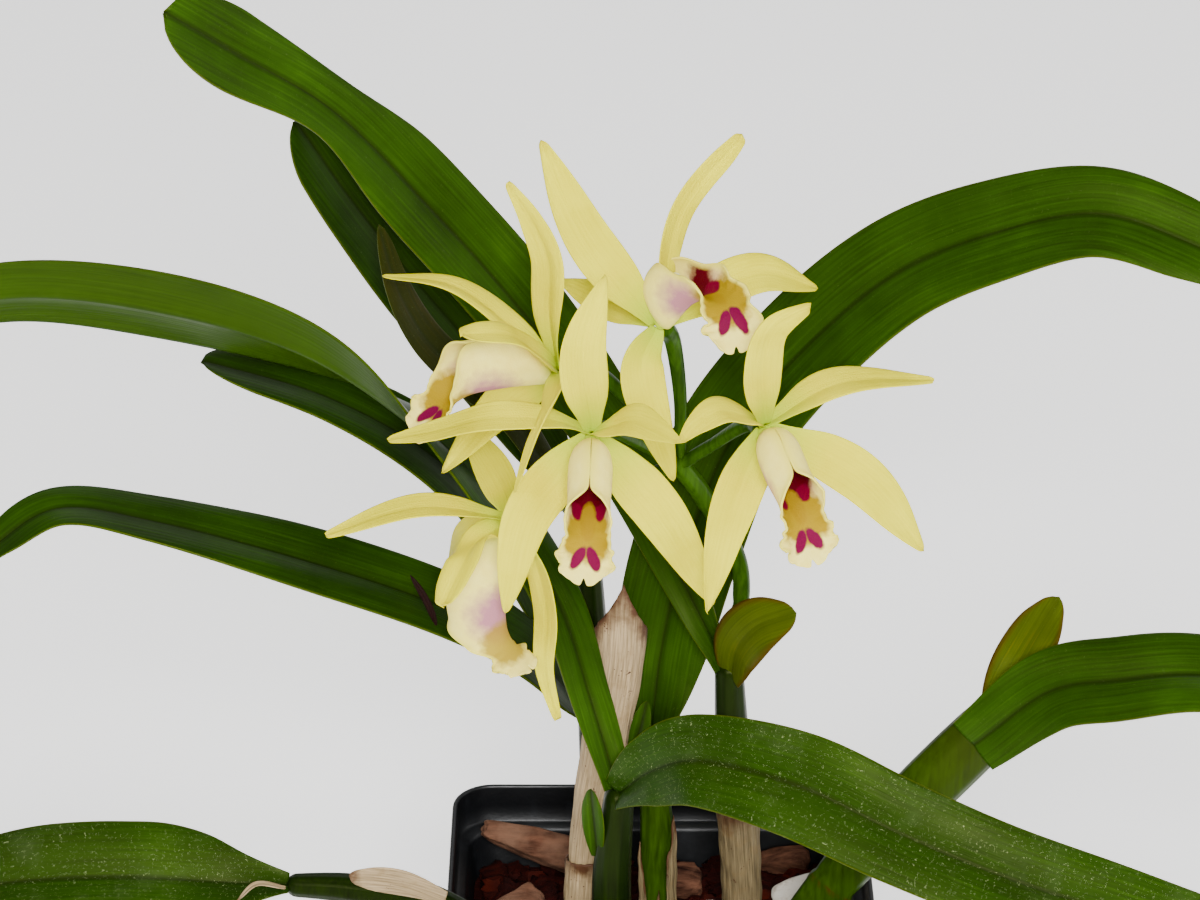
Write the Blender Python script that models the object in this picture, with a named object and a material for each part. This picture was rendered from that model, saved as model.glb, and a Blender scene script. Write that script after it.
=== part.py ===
"""Cattleya orchid in bloom in its square nursery pot. Metres, +Z up, +Y to the back, origin at the
centre of the pot's base. Points below are in millimetres."""

import math
import random

import bmesh
import bpy
import numpy as np
from mathutils import Vector
from mathutils.bvhtree import BVHTree

MM = 0.001

# Pot: outer half widths of the tapered square body and of its rim.
POT_HEIGHT = 115.0
POT_BASE_HALF = 41.0
POT_SHOULDER_HALF = 53.5
POT_RIM_HALF = 56.5
POT_RIM_HEIGHT = 13.0
POT_WALL = 1.3
POT_FLOOR = 2.0
POT_CORNER = 11.0
POT_BASE_CORNER = 8.0
DRAIN_SLOT = (16.0, 3.4)
DRAIN_PLACE = 24.0
SOIL_TOP = 95.0

# Clear space round the medium and round each cane in its hole, and the gap at a joint.
GAP = 0.35
SEAT = 0.3
SEAT_ERROR = 0.04

LEAF_THICK = 1.5
TEPAL_THICK = 0.8
LIP_THICK = 0.8
SHEATH_THICK = 0.7

# Leaves: midrib points from the joint to the tip, the directions that the upper face turns to, the
# half width at the widest place and the fold along the midrib.
LEAVES = {
    "leaf_upper_left": {
        "on": "cane_middle",
        "midrib": [(13.5, 6.5, 186.5), (4, 16, 206), (-12, 26, 238), (-33, 32, 268), (-58, 30, 301),
                   (-81, 22, 331), (-103, 12, 350), (-118, 3, 364)],
        "faces": [(-0.3, -0.9, 0.3), (0.5, -0.75, 0.45), (0.4, -0.75, 0.5)],
        "half": 12.5, "fold": 0.2,
        "outline": (0.36, 0.44, 0.64, 0.85, 0.96, 1.0, 0.97, 0.64, 0.8, 0.25),
    },
    "leaf_behind_left": {
        "on": "cane_far_back",
        "midrib": [(-21, 44, 209), (-42, 47, 244), (-64, 44, 276), (-79, 38, 301), (-91, 32, 324)],
        "faces": [(0.4, -0.8, 0.5)],
        "half": 12.0, "fold": 0.25,
    },
    "leaf_left_long": {
        "on": "cane_front",
        "midrib": [(-14.5, -21.5, 171), (-19, -15, 188), (-27, 0, 206), (-42, 12, 227), (-61, 16, 247),
                   (-90, 14, 270), (-126, 8, 285), (-161, 0, 292), (-190, -10, 286)],
        "faces": [(0.3, -0.8, 0.3), (0.6, -0.1, 0.6), (0.1, 0.95, 0.35), (0.0, 0.95, 0.3)],
        "half": 12.0, "fold": 0.25,
    },
    "leaf_left_dark": {
        "on": "cane_back",
        "midrib": [(-14.5, 27, 158), (-30, 34, 186), (-44, 36, 210), (-62, 33, 232), (-86, 29, 249),
                   (-116, 22, 263)],
        "faces": [(0.3, -0.5, 0.6), (0.2, -0.2, 0.95)],
        "half": 11.5, "fold": 0.25,
    },
    "leaf_left_low": {
        "on": "cane_back",
        "midrib": [(-17.5, 17, 157), (-34, 13, 182), (-56, 7, 200), (-92, 2, 217), (-128, 0, 229),
                   (-150, -6, 236), (-164, -14, 231), (-171, -18, 225)],
        "faces": [(0.2, -0.4, 0.9), (0.1, -0.2, 0.97)],
        "half": 10.8, "fold": 0.2,
        "outline": (0.36, 0.52, 0.8, 0.96, 1.0, 0.98, 0.9, 0.74, 0.5, 0.1),
    },
    "leaf_upper_right": {
        "on": "cane_front_second",
        "midrib": [(-3, 14, 157.5), (0, 20, 180), (6, 26, 205), (18, 34, 235), (37, 35, 261),
                   (59, 30, 284), (82, 21, 299), (105, 12, 308), (126, 2, 305), (143, -8, 299)],
        "faces": [(0.1, -0.9, 0.3), (-0.3, -0.75, 0.6), (-0.15, -0.7, 0.7)],
        "half": 14.6, "fold": 0.2,
        "outline": (0.36, 0.5, 0.78, 0.98, 1.0, 1.0, 0.96, 0.85, 0.55, 0.1),
    },
    "leaf_front_right": {
        "on": "cane_front",
        "midrib": [(-7, -29, 170.5), (0, -36, 182), (9, -43, 187), (32, -57, 188), (56, -67, 181),
                   (79, -74, 174), (103, -78, 167), (127, -80, 159), (150, -80, 151)],
        "faces": [(-0.3, -0.75, 0.6), (0.0, -0.7, 0.7)],
        "half": 13.2, "fold": 0.2,
        "outline": (0.4, 0.78, 0.92, 1.0, 0.98, 0.95, 0.9, 0.82, 0.62, 0.1),
    },
    "leaf_right_low": {
        "on": "cane_right",
        "midrib": [(90, -2, 178), (98, -6, 183), (115, -12, 190), (134, -18, 195), (158, -26, 195),
                   (178, -34, 188)],
        "faces": [(-0.3, -0.3, 0.9), (0.0, -0.3, 0.95)],
        "half": 12.0, "fold": 0.3,
        "outline": (0.68, 0.78, 0.9, 0.97, 1.0, 0.98, 0.93, 0.82, 0.6, 0.1),
    },
    "leaf_left_ground": {
        "on": "cane_left",
        "midrib": [(-99.5, -8, 125.6), (-114, -8, 126), (-136, -8, 127.5), (-158, -8, 127), (-176, -8, 125),
                   (-194, -9, 121)],
        "faces": [(0.0, -0.6, 0.8)],
        "half": 15.0, "fold": 0.2,
    },
}
LEAF_OUTLINE = (0.36, 0.52, 0.78, 0.95, 1.0, 1.0, 0.97, 0.88, 0.68, 0.1)
LEAF_ROWS = 15

# Canes: centre line from the soil to the joint, with the radius at each point.
CANES = {
    "cane_front": ([(-14, -22, 80), (-13, -23, 110), (-13, -24, 140), (-11, -25, 167)],
                   (4.6, 5.0, 4.9, 2.9)),
    "cane_front_second": ([(0, 8, 80), (-1, 8, 110), (-1, 10, 132), (-3, 13, 155)],
                          (4.2, 4.6, 4.3, 2.9)),
    "cane_middle": ([(23, 9, 80), (22, 9, 109), (20, 8, 138), (18, 6, 167), (17, 5, 184)],
                    (3.8, 4.1, 4.4, 4.2, 3.1)),
    "cane_right": ([(25, -6, 80), (33, -5, 103), (48, -2, 126), (75, 0, 158), (85, 0, 171)],
                   (5.0, 5.8, 6.6, 7.8, 8.0)),
    "cane_left": ([(-25, -26, 80), (-34, -20, 106), (-58, -12, 122), (-81, -9, 125), (-98, -8, 125.5)],
                  (3.8, 4.3, 4.3, 4.2, 3.2)),
    "cane_dried": ([(-21, 1, 80), (-20, 2, 114), (-18, 3, 135), (-14, 5, 162), (-10, 7, 188),
                    (-10, 9, 207)],
                   (4.0, 4.1, 4.4, 4.6, 5.6, 1.3)),
    "cane_back": ([(-15, 21, 80), (-15, 21, 110), (-15, 22, 135), (-15, 22, 154)],
                  (4.2, 4.6, 4.4, 2.8)),
    "cane_far_back": ([(-17, 41, 80), (-17, 41, 120), (-18, 41, 165), (-20, 43, 206)],
                      (3.8, 4.3, 4.3, 2.9)),
}
CANE_SIDES = 10

# Small bracts: midrib, face directions, half width and the piece that carries them.
BRACTS = {
    "spathe_left": ([(-22, 40, 208), (-38, 35, 240), (-51, 31, 255), (-60, 26, 268), (-66, 20, 284),
                     (-70, 15, 304)], (0.5, -0.8, 0.4), 5.0, "cane_far_back"),
    "bract_middle": ([(18.5, 0.5, 185.5), (19, -4, 196), (24, -8, 204), (33, -12, 210)],
                     (-0.5, -0.8, 0.45), 8.0, "cane_middle"),
    "bract_right": ([(86, 7, 171), (95, 11, 187), (101, 8, 203)], (-0.5, -0.85, 0.0), 7.0, "cane_right"),
    "bract_front": ([(-17.8, -25.5, 150), (-18.2, -26.5, 159), (-18.8, -27.5, 169)],
                    (-1.0, -0.2, 0.0), 2.4, "cane_front"),
    "bract_low": ([(-4.5, 1.5, 160), (-5.2, 1.0, 168), (-4.0, 1.2, 176)],
                  (-0.2, -1.0, 0.1), 2.6, "cane_front_second"),
    "bract_left": ([(-57, -15, 127.4), (-68, -13, 130.4), (-81, -11, 130.6)],
                   (0.0, -0.5, 0.85), 3.6, "cane_left"),
    "tendril_left": ([(-99, -11.5, 127), (-105, -14, 130), (-110, -16, 126)],
                     (0.0, -0.7, 0.7), 0.9, "cane_left"),
    "thorn_left": ([(-58, -3, 208), (-60, -5, 213), (-63, -6, 219)],
                   (0.3, -0.9, 0.3), 1.6, "leaf_left_low"),
}
DRY_BRACTS = ("bract_left", "tendril_left", "thorn_left")
BRACT_OUTLINE = (0.5, 0.85, 1.0, 0.85, 0.12)
BRACT_FOLD = 0.3

# Dry sheaths round two canes: route, radii, degrees round the cane and the side they lie on.
SHEATHS = {
    "sheath_middle": ([(21.9, 9, 112), (21.2, 8.6, 122), (20.4, 8.1, 133)], (5.0, 5.2, 5.6), 290,
                      (0, -0.9, 0.3)),
    "sheath_second": ([(-1, 8.1, 114), (-1, 8.7, 124), (-1, 10.3, 135)], (5.4, 5.4, 5.5), 150,
                      (0.5, -0.9, 0.2)),
}

# Blooms: centre, tepals (middle and tip from the centre, face, half width), and the lip's lower line
# from the centre with the direction of its open upper side.
BLOOMS = {
    "left": {
        "centre": (-28, -8, 275),
        "tepals": [
            ([(0, 4, 28), (-4, 6, 38), (-10, 8, 47)], (-0.85, -0.45, 0.1), 5.4),
            ([(-21, 8, 18), (-41, 15, 19)], (-0.2, 0.1, 0.97), 5.4),
            ([(-2, -12, 15), (-10, -25, 24), (-20, -34, 28)], (-0.2, 0.0, 1.0), 5.2),
            ([(-11, 9, -12), (-27, 3, -29)], (-0.3, -0.9, 0.2), 5.8),
            ([(0, -13, 4), (-2, -26, 9), (-4, -36, 4), (-8, -42, -10)], (-0.9, -0.3, 0.2), 4.4),
        ],
        "lip": [(-12, -4, -1), (-23, -7, -3), (-33, -12, -12)],
        "up": (-0.1, -0.25, 0.95),
    },
    "top": {
        "centre": (-1, -2, 286),
        "tepals": [
            ([(-18, 0, 22), (-29, 4, 46)], (0.3, -0.9, 0.2), 6.0),
            ([(4, 4, 27), (19, 10, 45)], (0.85, -0.5, 0.0), 5.4),
            ([(22, 12, 7), (39, 25, -3)], (0.2, -0.75, 0.6), 5.6),
            ([(-5, -7, -11), (3, -11, -38)], (0.2, -0.95, 0.1), 5.8),
            ([(-12, 14, -2), (-25, 28, -2)], (0.2, 0.2, 0.95), 5.2),
        ],
        "lip": [(5, -10, 3), (12, -18, 5), (18, -23, 0)],
        "up": (-0.15, 0.35, 0.9),
    },
    "centre": {
        "centre": (-18, -28, 267),
        "tepals": [
            ([(-2, -4, 26), (3, -7, 46)], (0.0, -0.95, 0.3), 6.0),
            ([(-21, -5, 8), (-49, 6, -2)], (0.0, -0.25, 0.97), 5.6),
            ([(9, -16, 15), (20, -34, 19)], (0.2, 0.1, 0.95), 5.4),
            ([(-8, -1.5, -8), (-16, -8, -18), (-21, -6, -44)], (-0.1, -0.95, 0.25), 6.2),
            ([(8.5, 0.5, -9), (18, -2, -21), (30, 10, -51)], (0.1, -0.95, 0.25), 6.2),
        ],
        "lip": [(-0.5, -11, -9), (-1, -19, -16), (-2, -24, -26)],
        "up": (0.0, -0.83, 0.55),
    },
    "right": {
        "centre": (24, -20, 265),
        "tepals": [
            ([(-2, -8, 21), (0, -16, 35), (7, -23, 43)], (0.6, -0.75, 0.0), 5.4),
            ([(-13, -14, 11), (-22, -27, 13)], (0.0, -0.1, 1.0), 5.4),
            ([(18, 8, 9), (42, 22, 3)], (0.0, -0.2, 0.97), 5.6),
            ([(-9, -8, -19), (-14, -14, -42)], (0.2, -0.95, 0.2), 6.0),
            ([(23, 2, -13), (40, 8, -37)], (0.1, -0.95, 0.3), 6.2),
        ],
        "lip": [(4, -11, -8), (8, -18, -14), (11, -23, -24)],
        "up": (0.15, -0.8, 0.5),
    },
    "low": {
        "centre": (-37.5, -20, 239),
        "tepals": [
            ([(-3, 14, 5), (-12, 34, 10)], (-0.6, -0.3, 0.7), 5.0),
            ([(-22, -5, 8), (-45, -6, 1)], (0.0, -0.1, 1.0), 5.4),
            ([(-7, -8, 1), (-11, -19, 1), (-16, -28, -6)], (-0.5, -0.7, 0.5), 5.2),
            ([(7, 3, -23), (11, -2, -54)], (-0.85, -0.5, 0.0), 5.0),
            ([(-11, 16, -12), (-17, 33, -27)], (-0.7, -0.6, 0.3), 5.4),
        ],
        "lip": [(-2, -2, -12), (-2.5, -3, -22), (-1, -5, -30), (5, -8, -36)],
        "up": (-0.9, -0.35, 0.2),
    },
}
TEPAL_OUTLINE = (0.3, 0.52, 0.88, 1.0, 0.97, 0.82, 0.52, 0.1)
TEPAL_ROWS = 8
TEPAL_FOLD = 0.18
HUB = 2.8
BEHIND = 1.8

# Lip, from its base to its tip: half the length round it and its radius at each place, then its
# height for its width, how far its base stands off the hub's centre, and its edge's waves.
LIP_ARC = (4.4, 9.9, 14.6, 15.9, 15.4, 11.0, 7.2, 7.0, 6.0, 2.2)
LIP_RADIUS = (1.6, 3.3, 4.9, 5.3, 5.6, 6.4, 8.5, 13.0, 17.0, 20.0)
LIP_TALL = 1.3
LIP_CLEAR = HUB + 1.3
LIP_WAVE = 0.9
LIP_WAVES = 3.5
LIP_SIZE = (11, 11)

# Stalk: the crown that the pedicels part at, their routes to the blooms, and the way up to the crown.
CROWN = (4.0, 12.0, 239.0)
CROWN_RADIUS = 3.4
PEDICELS = {
    "left": [CROWN, (-6, 12, 254), (-18, 8, 268)],
    "top": [CROWN, (4, 10, 258), (2, 6, 276)],
    "centre": [CROWN, (-5, 2, 250), (-14, -14, 263)],
    "right": [CROWN, (12, 6, 248), (20, -6, 260)],
    "low": [CROWN, (-12, 6, 237), (-28, -8, 238)],
}
PEDUNCLE = [(20.5, 8.5, 187), (20, 17, 206), (11, 17, 226), CROWN]

# Loose pieces on the medium: place, radius, stretch, roughness, seed and fineness of its mesh.
BARK_CHIPS = {
    "chip_back": ((-37, 41), 12.5, (1.0, 0.5, 0.45), 0.12, 3, 2),
    "chip_brown": ((-39, 22), 9.0, (1.0, 0.6, 0.3), 0.15, 8, 2),
    "chip_middle": ((5, 34), 8.0, (0.9, 0.8, 0.45), 0.15, 4, 2),
    "chip_right": ((34, 44), 8.5, (1.0, 0.5, 0.4), 0.15, 6, 2),
}
STONES = {
    "pebble": ((14, 23), 2.0, (1.0, 0.9, 0.8), 0.05, 2, 1),
    "stone_flat": ((40, 25), 9.5, (0.95, 0.75, 0.26), 0.06, 7, 2),
}


def unit(vectors):
    return vectors / np.linalg.norm(vectors, axis=-1, keepdims=True)


def spline(values, place):
    """Catmull-Rom curve through evenly spaced values, read at places from 0 to 1."""
    values = np.asarray(values, float)
    if len(values) == 1:
        return np.repeat(values, len(place), axis=0)
    ends = [2 * values[0] - values[1]], [2 * values[-1] - values[-2]]
    knots = np.concatenate([ends[0], values, ends[1]])
    spot = np.clip(np.asarray(place) * (len(values) - 1), 0, len(values) - 1 - 1e-9)
    first = spot.astype(int)
    part = spot - first
    if values.ndim > 1:
        part = part[:, None]
    a, b, c, d = (knots[first + k] for k in range(4))
    return b + 0.5 * part * (c - a + part * (2 * a - 5 * b + 4 * c - d + part * (3 * (b - c) + d - a)))


def line_through(points, rows):
    """Smooth line through the points, cut into rows at equal lengths."""
    fine = spline(points, np.linspace(0, 1, 500))
    run = np.concatenate([[0], np.cumsum(np.linalg.norm(np.diff(fine, axis=0), axis=1))])
    want = np.linspace(0, run[-1], rows)
    return np.stack([np.interp(want, run, fine[:, k]) for k in range(3)], axis=1)


def frame_along(line, faces):
    """Side and face directions along a line, the face as near as it can be to the ones asked for."""
    tangent = unit(np.gradient(line, axis=0))
    face = spline(faces, np.linspace(0, 1, len(line)))
    face = unit(face - (face * tangent).sum(axis=1, keepdims=True) * tangent)
    return np.cross(tangent, face), face


def add_object(name, points, faces, material):
    """Adds a closed mesh, turned so that its faces look outwards."""
    mesh = bpy.data.meshes.new(name)
    mesh.from_pydata((np.asarray(points) * MM).tolist(), [], faces)
    shape = bmesh.new()
    shape.from_mesh(mesh)
    bmesh.ops.recalc_face_normals(shape, faces=shape.faces)
    if shape.calc_volume(signed=True) < 0:
        bmesh.ops.reverse_faces(shape, faces=shape.faces)
    shape.to_mesh(mesh)
    shape.free()
    mesh.materials.append(material)
    body = bpy.data.objects.new(name, mesh)
    bpy.context.collection.objects.link(body)
    return body


def sheet(name, grid, thick, material):
    """Closed solid of even thickness about a grid of points."""
    normal = unit(np.cross(np.gradient(grid, axis=0), np.gradient(grid, axis=1)))
    rows, columns = grid.shape[:2]
    points = np.concatenate([(grid + normal * thick / 2).reshape(-1, 3),
                             (grid - normal * thick / 2).reshape(-1, 3)])
    index = np.arange(rows * columns).reshape(rows, columns)
    quads = np.stack([index[:-1, :-1], index[1:, :-1], index[1:, 1:], index[:-1, 1:]], axis=-1)
    quads = quads.reshape(-1, 4)
    under = rows * columns
    rim = np.concatenate([index[0], index[1:, -1], index[-1, -2::-1], index[-2:0:-1, 0]])
    after = np.roll(rim, -1)
    wall = np.stack([rim, after, after + under, rim + under], axis=-1)
    faces = quads.tolist() + (quads[:, ::-1] + under).tolist() + wall.tolist()
    return add_object(name, points, faces, material)


def blade(name, midrib, faces, outline, fold, thick, material, rows, columns=5):
    """Leaf or tepal: a folded strip along its midrib, with the half width at each place."""
    line = line_through(midrib, rows)
    side, face = frame_along(line, faces)
    half = spline(outline, np.linspace(0, 1, rows))[:, None, None]
    across = np.linspace(-1, 1, columns)[None, :, None]
    grid = line[:, None] + side[:, None] * half * across + face[:, None] * half * fold * abs(across) ** 1.5
    return sheet(name, grid, thick, material)


def tube(name, route, radii, sides, material, rows):
    """Round stem along a route, closed by flat ends."""
    line = line_through(route, rows)
    side, face = frame_along(line, [(0.13, -0.9, 0.41)])
    radius = spline(radii, np.linspace(0, 1, rows))[:, None, None]
    angle = np.linspace(0, math.tau, sides, endpoint=False)[None, :, None]
    grid = line[:, None] + radius * (np.cos(angle) * side[:, None] + np.sin(angle) * face[:, None])
    return add_object(name, grid.reshape(-1, 3), loft_faces(rows, sides), material)


def loft_faces(rows, sides):
    """Faces of a stack of rings, with one flat face at each end."""
    index = np.arange(rows * sides).reshape(rows, sides)
    after = np.roll(index, -1, axis=1)
    quads = np.stack([index[:-1], after[:-1], after[1:], index[1:]], axis=-1).reshape(-1, 4)
    return quads.tolist() + [index[0, ::-1].tolist(), index[-1].tolist()]


def wrap(name, route, radii, arc, faces, thick, material, rows, columns=9):
    """Dry sheath: a thin sheet bent part of the way round a stem."""
    line = line_through(route, rows)
    side, face = frame_along(line, faces)
    radius = spline(radii, np.linspace(0, 1, rows))[:, None, None]
    angle = np.linspace(-arc / 2, arc / 2, columns)[None, :, None]
    grid = line[:, None] + radius * (np.cos(angle) * face[:, None] + np.sin(angle) * side[:, None])
    return sheet(name, grid, thick, material)


def united(name, parts, material):
    """Fuses overlapping closed meshes into one body and removes the parts."""
    group = bpy.data.collections.new(name + "_parts")
    bpy.context.scene.collection.children.link(group)
    first, rest = parts[0], parts[1:]
    for part in rest:
        group.objects.link(part)
    cut = first.modifiers.new("fuse", "BOOLEAN")
    cut.operation = "UNION"
    cut.solver = "MANIFOLD"
    cut.operand_type = "COLLECTION"
    cut.collection = group
    graph = bpy.context.evaluated_depsgraph_get()
    mesh = bpy.data.meshes.new_from_object(first.evaluated_get(graph))
    for part in parts:
        bpy.data.objects.remove(part, do_unlink=True)
    bpy.data.collections.remove(group)
    mesh.materials.clear()
    mesh.materials.append(material)
    body = bpy.data.objects.new(name, mesh)
    bpy.context.collection.objects.link(body)
    return body


def ball(name, centre, radius, material, squash=(1, 1, 1), rough=0.0, seed=0, detail=2):
    """Round or pebble-like closed mesh."""
    shape = bmesh.new()
    bmesh.ops.create_icosphere(shape, subdivisions=detail, radius=1)
    dice = random.Random(seed)
    for vertex in shape.verts:
        stretch = radius * (1 + rough * dice.uniform(-1, 1))
        vertex.co = [centre[k] + vertex.co[k] * stretch * squash[k] for k in range(3)]
    points = [tuple(vertex.co) for vertex in shape.verts]
    faces = [[vertex.index for vertex in face.verts] for face in shape.faces]
    shape.free()
    return add_object(name, points, faces, material)


def paint(name, colour, roughness):
    material = bpy.data.materials.new(name)
    material.use_nodes = True
    shader = material.node_tree.nodes["Principled BSDF"]
    shader.inputs["Base Color"].default_value = (*colour, 1)
    shader.inputs["Roughness"].default_value = roughness
    return material


def corners_and_tree(body):
    """A body's corners in millimetres, and a search tree of its faces."""
    corners = [vertex.co / MM for vertex in body.data.vertices]
    return corners, BVHTree.FromPolygons(corners, [tuple(face.vertices) for face in body.data.polygons])


def step_to(body, carrier):
    """The step that takes a body to the seat gap from its carrier."""
    corners, tree = corners_and_tree(body)
    carrier_corners, carrier_tree = corners_and_tree(carrier)
    steps = [carrier_tree.find_nearest(corner)[0] - corner for corner in corners]
    steps += [corner - tree.find_nearest(corner)[0] for corner in carrier_corners]
    step = min(steps, key=lambda one: one.length)
    return step * (1 - SEAT / step.length)


def seated(build, start, carrier_name):
    """Builds a piece, moving its first point until it rests on its carrier."""
    carrier = bpy.data.objects[carrier_name]
    start = Vector(start)
    for _ in range(6):
        body = build(tuple(start))
        step = step_to(body, carrier)
        if step.length < SEAT_ERROR:
            return
        start += step
        bpy.data.objects.remove(body, do_unlink=True)
    build(tuple(start))


def build_leaves(leaf_green):
    for name, leaf in LEAVES.items():
        outline = leaf["half"] * np.array(leaf.get("outline", LEAF_OUTLINE))

        def build(start, name=name, leaf=leaf, outline=outline):
            midrib = [start] + leaf["midrib"][1:]
            return blade(name, midrib, leaf["faces"], outline, leaf["fold"], LEAF_THICK, leaf_green,
                         LEAF_ROWS)

        seated(build, leaf["midrib"][0], leaf["on"])


def build_canes(cane_green, dry):
    for name, (route, radii) in CANES.items():
        material = dry if name == "cane_dried" else cane_green
        tube(name, route, radii, CANE_SIDES, material, 8)


def build_bracts(bract_green, dry):
    for name, (midrib, face, half, carrier) in BRACTS.items():
        material = dry if name in DRY_BRACTS else bract_green
        outline = half * np.array(BRACT_OUTLINE)

        def build(start, name=name, rest=midrib[1:], face=face, outline=outline, material=material):
            return blade(name, [start] + rest, [face], outline, BRACT_FOLD, SHEATH_THICK, material, 8)

        seated(build, midrib[0], carrier)


def build_sheaths(dry):
    for name, (route, radii, degrees, face) in SHEATHS.items():
        wrap(name, route, radii, math.radians(degrees), [face], SHEATH_THICK, dry, 5)


def build_bloom(name, bloom, petal, lip_white, column_white):
    centre = np.array(bloom["centre"], float)
    ahead = lip_line(centre, bloom)[1]
    parts = [ball("hub", centre, HUB, petal, detail=1)]
    for offsets, face, half in bloom["tepals"]:
        start = centre + unit(np.array(offsets[0], float)) * 0.8 - ahead * BEHIND
        midrib = [start] + [centre + np.array(spot) for spot in offsets]
        outline = half * np.array(TEPAL_OUTLINE)
        parts.append(blade("tepal", midrib, [face], outline, TEPAL_FOLD, TEPAL_THICK, petal, TEPAL_ROWS))
    united(f"bloom_{name}_tepals", parts, petal)
    build_lip(name, centre, bloom, lip_white)
    build_column(name, centre, bloom, column_white)


def lip_line(centre, bloom, clear=LIP_CLEAR):
    """Lower line of the lip, beginning clear of the hub."""
    points = [centre + np.array(spot) for spot in bloom["lip"]]
    ahead = unit(points[0] - centre)
    up = np.array(bloom["up"])
    up = unit(up - (up @ ahead) * ahead)
    return [centre + ahead * clear - up * LIP_RADIUS[0] * LIP_TALL] + points, ahead, up


def build_lip(name, centre, bloom, material):
    """Lip, set back along its axis until it rests on the tepals."""
    tepals = bpy.data.objects[f"bloom_{name}_tepals"]
    clear = LIP_CLEAR
    for _ in range(5):
        lip = lip_shell(name, lip_line(centre, bloom, clear)[0], bloom["up"], material)
        step = step_to(lip, tepals)
        if step.length < SEAT_ERROR:
            return
        clear -= step.length
        bpy.data.objects.remove(lip, do_unlink=True)
    lip_shell(name, lip_line(centre, bloom, clear)[0], bloom["up"], material)


def lip_shell(name, route, up, material):
    """A tube, open along its upper side, that spreads into a front lobe with a wavy edge."""
    rows, columns = LIP_SIZE
    place = np.linspace(0, 1, rows)
    line = line_through(route, rows)
    side, face = frame_along(line, [up])
    arc = spline(LIP_ARC, place)[:, None, None]
    radius = spline(LIP_RADIUS, place)[:, None, None]
    across = np.linspace(-1, 1, columns)[None, :, None]
    angle = across * arc / radius
    edge = np.clip((place - 0.6) / 0.4, 0, 1)[:, None, None] * across**2
    wave = LIP_WAVE * np.sin(place * LIP_WAVES * math.tau)[:, None, None]
    rise = LIP_TALL * radius * (1 - np.cos(angle)) + edge * wave
    grid = line[:, None] + radius * np.sin(angle) * side[:, None] + rise * face[:, None]
    return sheet(f"bloom_{name}_lip", grid, LIP_THICK, material)


def build_column(name, centre, bloom, material):
    """Column: a short rod inside the lip's tube."""
    points, ahead, up = lip_line(centre, bloom)
    begin = centre + ahead * (HUB + 1.0)
    end = points[1] + up * 8.5 - ahead * 1.0
    tube(f"bloom_{name}_column", [begin, (begin + end) / 2 + up * 0.3, end], (0.9, 1.9, 2.1), 8, material, 5)


def build_stalk(stalk_green):
    """One stalk from the middle cane, with a pedicel to each bloom."""

    def build(start):
        parts = [tube("peduncle", [start] + PEDUNCLE[1:], (2.4, 2.2, 2.2, 2.4), 8, stalk_green, 7)]
        parts.append(ball("crown", CROWN, CROWN_RADIUS, stalk_green, detail=1))
        for name, route in PEDICELS.items():
            centre = np.array(BLOOMS[name]["centre"], float)
            back = unit(np.array(route[-1]) - centre)
            points = [np.array(spot, float) for spot in route] + [centre + back * (HUB + SEAT)]
            parts.append(tube("pedicel", points, (1.7, 1.7, 1.9, 1.9), 8, stalk_green, 6))
        return united("flower_stalk", parts, stalk_green)

    seated(build, PEDUNCLE[0], "cane_middle")


def square_ring(half, corner, height, steps=5):
    """Rounded square at one height, as points in order."""
    points = []
    for quarter in range(4):
        turn = quarter * math.pi / 2
        for step in range(steps + 1):
            angle = turn + step * math.pi / 2 / steps
            reach = half - corner
            x = reach * (1 if quarter in (0, 3) else -1) + corner * math.cos(angle)
            y = reach * (1 if quarter in (0, 1) else -1) + corner * math.sin(angle)
            points.append((x, y, height))
    return points


def pot_half(height):
    """Outer half width of the tapered body at a height."""
    shoulder = POT_HEIGHT - POT_RIM_HEIGHT
    return POT_BASE_HALF + (POT_SHOULDER_HALF - POT_BASE_HALF) * height / shoulder


def build_pot(black):
    shoulder = POT_HEIGHT - POT_RIM_HEIGHT
    rim_inside = POT_RIM_HALF - POT_WALL
    rings = [
        square_ring(POT_BASE_HALF, POT_BASE_CORNER, 0),
        square_ring(POT_SHOULDER_HALF, POT_CORNER, shoulder - 1),
        square_ring(POT_RIM_HALF, POT_CORNER, shoulder),
        square_ring(POT_RIM_HALF, POT_CORNER, POT_HEIGHT),
        square_ring(rim_inside, POT_CORNER - POT_WALL, POT_HEIGHT),
        square_ring(rim_inside, POT_CORNER - POT_WALL, shoulder + POT_WALL),
        square_ring(POT_SHOULDER_HALF - POT_WALL, POT_CORNER - POT_WALL, shoulder - 1),
        square_ring(pot_half(POT_FLOOR) - POT_WALL, POT_BASE_CORNER - POT_WALL, POT_FLOOR),
    ]
    points = [point for ring in rings for point in ring]
    pot = add_object("pot", points, loft_faces(len(rings), len(rings[0])), black)
    for x in (-DRAIN_PLACE, DRAIN_PLACE):
        for y in (-DRAIN_PLACE, DRAIN_PLACE):
            cut_away(pot, slot_cutter(x, y, black))


def slot_cutter(x, y, material):
    """Box that cuts one drain slot through the pot's floor."""
    length, width = DRAIN_SLOT
    corners = [(x + a * length / 2, y + b * width / 2, c)
               for a in (-1, 1) for b in (-1, 1) for c in (-POT_FLOOR, 2 * POT_FLOOR)]
    faces = [(0, 1, 3, 2), (4, 6, 7, 5), (0, 4, 5, 1), (2, 3, 7, 6), (0, 2, 6, 4), (1, 5, 7, 3)]
    return add_object("slot", corners, faces, material)


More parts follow.
